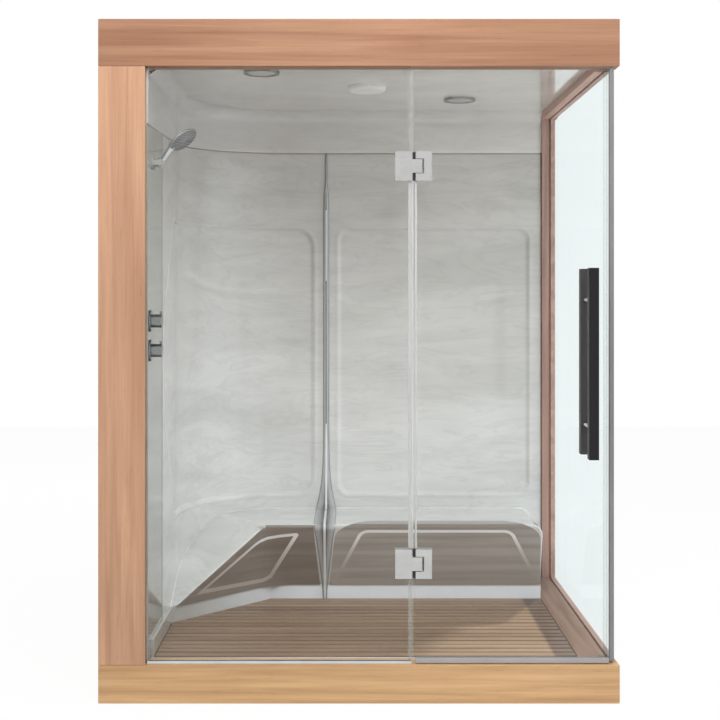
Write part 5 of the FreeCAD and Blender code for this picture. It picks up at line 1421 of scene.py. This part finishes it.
@dataclass
class ShowerSet(Assembly):
    """Two mixer knobs, the concealed valve, and the hand shower on its bracket."""

    title: ClassVar[str] = "shower set"
    knob_round: float = 1.2
    bracket_round: float = 0.8
    grip: Point = (-625.0, -440.0, 1670.0)
    rise: Point = (0.5592, 0.0, 0.8290)
    spray: Point = (0.6076, -0.2588, -0.7505)
    head: Point = (-556.0, -440.0, 1747.0)
    tail: float = 16.0
    dome_back: float = 9.0
    plate_ahead: float = 15.4
    tips_ahead: float = 16.9
    handle: Sequence[tuple[float, float]] = ((0.0, 5.6), (1.2, 7.2), (3.0, 8.0), (24.0, 8.0), (46.0, 8.6),
                                             (64.0, 9.6), (80.0, 11.5), (90.0, 12.5), (97.0, 9.0), (99.0, 5.0))
    dome: Sequence[tuple[float, float]] = ((0.0, 10.0), (1.5, 20.0), (4.5, 33.0), (8.0, 43.0), (10.5, 47.5),
                                           (12.5, 49.0), (14.5, 49.0), (15.8, 48.2))
    plate: Sequence[tuple[float, float]] = ((0.0, 47.0), (1.0, 47.0), (1.8, 46.0), (2.0, 8.0), (2.4, 7.0), (2.6, 2.0))
    nozzle: Sequence[tuple[float, float]] = ((0.0, 1.7), (1.0, 1.5), (2.2, 0.9))
    nozzle_rings: Sequence[tuple[float, int]] = ((15.0, 8), (25.0, 14), (34.0, 20), (41.5, 26))

    def build(self) -> None:
        """Shapes the knobs and the hand shower."""
        for node in ("upper_knob", "lower_knob", "knob_plates"):
            self.eased(node, Coat.KNOB, self.knob_round, segments=3)
        self.coat("valve_body", Coat.BRASS)
        self.eased("shower_bracket", Coat.BRACKET, self.bracket_round)
        self.eased("shower_socket", Coat.BRACKET, self.bracket_round)
        self.handset()

    def handset(self) -> None:
        """Turns the handle and the head, and sets the nozzles in rings on the spray plate."""
        rise, spray = Vector(self.rise), Vector(self.spray).normalized()
        foot = metres(*self.grip) - rise * self.tail * MM
        back = metres(*self.head) - spray * self.dome_back * MM
        front = back + spray * self.plate_ahead * MM
        handle = Bench.dress(Bench.turned("handle", foot, rise, self.handle, sides=32), Coat.SHOWER)
        dome = Bench.dress(Bench.turned("head_dome", back, spray, self.dome, sides=64), Coat.SHOWER)
        plate = Bench.dress(Bench.turned("spray_plate", front, spray, self.plate, sides=64), Coat.SPRAY)
        tip = Bench.dress(Bench.turned("nozzle", Vector(), Vector((0, 0, 1)), self.nozzle, sides=8), Coat.NOZZLE)
        turn = spray.to_track_quat("Z", "Y").to_matrix().to_4x4()
        tips = []
        for radius, count in self.nozzle_rings:
            for step in range(count):
                angle = 2.0 * math.pi * step / count
                copy = Bench.link(bpy.data.objects.new("nozzle_copy", tip.data.copy()))
                spot = metres(radius * math.cos(angle), radius * math.sin(angle), self.tips_ahead)
                copy.matrix_world = Matrix.Translation(back + turn @ spot) @ turn
                tips.append(Bench.settle(copy))
        bpy.data.objects.remove(tip)
        piece = Bench.smooth(Bench.join("hand_shower_dressed", [dome, handle, plate, *tips]), Bench.smooth_to)
        self.stand_for(piece, "hand_shower")


@dataclass
class Studio:
    """White room, soft lamps and the camera."""

    eye: Point = (-33.7, -4110.0, 1250.0)
    lens: float = 58.07
    sensor: float = 36.0
    nearest: float = 50.0
    shift: tuple[float, float] = (0.0167, -0.0889)
    white: float = 1.0
    fill: float = 0.40
    clean: float = 0.96
    floor_size: float = 14.0
    floor_drop: float = 2.0
    lamps: Sequence[tuple[str, Point, Point, float, float, Colour]] = (
        ("front_softbox", (-1400, -3900, 3900), (0, 0, 900), 2400, 62.0, (1.0, 0.98, 0.96)),
        ("seat_softbox", (300, -2300, 3900), (0, 150, 300), 1800, 70.0, (1.0, 0.99, 0.98)),
        ("right_softbox", (3600, -700, 2200), (0, 0, 700), 2200, 62.0, (0.98, 0.99, 1.0)),
        ("back_softbox", (-1800, 4300, 3200), (0, 500, 1000), 2400, 75.0, (1.0, 0.99, 0.98)),
        ("deck_softbox", (3400, 4400, 4600), (450, -100, 120), 420, 480.0, (1.0, 0.97, 0.92)))

    def floor(self) -> None:
        """Lays a pale floor that looks white and keeps the object's shadow."""
        Bench.clear()
        bpy.ops.mesh.primitive_plane_add(size=self.floor_size, location=(0.0, 0.0, -self.floor_drop * MM))
        floor = bpy.context.object
        floor.name = "studio_floor"
        g = Graph(bpy.data.materials.new("studio_floor_paint"))
        paint = g.add("BsdfDiffuse", {"Color": g.ramp(g.noise(30.0, 3.0, 0.5), (0.3, 0.90), (0.7, 0.94))})
        plain = g.add("Emission", {"Color": (1.0, 1.0, 1.0, 1.0), "Strength": self.white})
        floor.data.materials.append(g.mixed(g.math("MULTIPLY", g.seen(), self.clean), paint, plain))

    def air(self) -> None:
        """Shows white behind the object and lights it evenly from all round."""
        g = Graph(bpy.data.worlds.new("studio_air"))
        dim = g.add("Background", {"Color": (1.0, 0.99, 0.975, 1.0), "Strength": self.fill})
        bright = g.add("Background", {"Color": (1.0, 1.0, 1.0, 1.0), "Strength": self.white})
        bpy.context.scene.world = g.mixed(g.seen(), dim, bright, "OutputWorld")

    def lamp(self, name: str, place: Point, aim: Point, size: float, power: float, colour: Colour) -> Piece:
        """Hangs a soft lamp.

        Args:
            name: Name of the lamp.
            place: Where it hangs, mm.
            aim: What it points at, mm.
            size: Width of its square face, mm.
            power: Watts.
            colour: Its colour.

        Returns:
            The lamp.
        """
        light = bpy.data.lights.new(name, "AREA")
        light.energy = power
        light.size = size * MM
        light.color = colour
        lamp = Bench.link(bpy.data.objects.new(name, light))
        lamp.visible_glossy = False
        lamp.location = metres(*place)
        lamp.rotation_euler = (metres(*aim) - lamp.location).to_track_quat("-Z", "Y").to_euler()
        return lamp

    def camera(self) -> None:
        """Sets the camera square to the front."""
        data = bpy.data.cameras.new("front_camera")
        data.lens = self.lens
        data.sensor_width = self.sensor
        data.shift_x, data.shift_y = self.shift
        data.clip_start = self.nearest * MM
        camera = Bench.link(bpy.data.objects.new("front_camera", data))
        camera.location = metres(*self.eye)
        camera.rotation_euler = (math.pi / 2, 0.0, 0.0)
        bpy.context.scene.camera = camera

    def build(self) -> None:
        """Sets the stage, the camera and the lamps, the last of which lights the deck only."""
        bpy.context.scene.view_settings.view_transform = "Standard"
        self.floor()
        self.air()
        hung = [self.lamp(*lamp) for lamp in self.lamps]
        deck = bpy.data.collections.new("lit_deck")
        deck.objects.link(bpy.data.objects["floor_slats_dressed"])
        hung[-1].light_linking.receiver_collection = deck
        self.camera()


def main() -> None:
    """Builds the steam room's looks group by group, logs each group done, and sets up the studio."""
    logging.basicConfig(level=logging.INFO, format="%(message)s")
    for group in (TimberFrame(), WetFloor(), Shells(), SeatAprons(), Lights(), Glazing(), DoorHardware(), ShowerSet()):
        group.build()
        LOG.info("%s done", group.title)
    Studio().build()


if __name__ == "__main__":
    main()
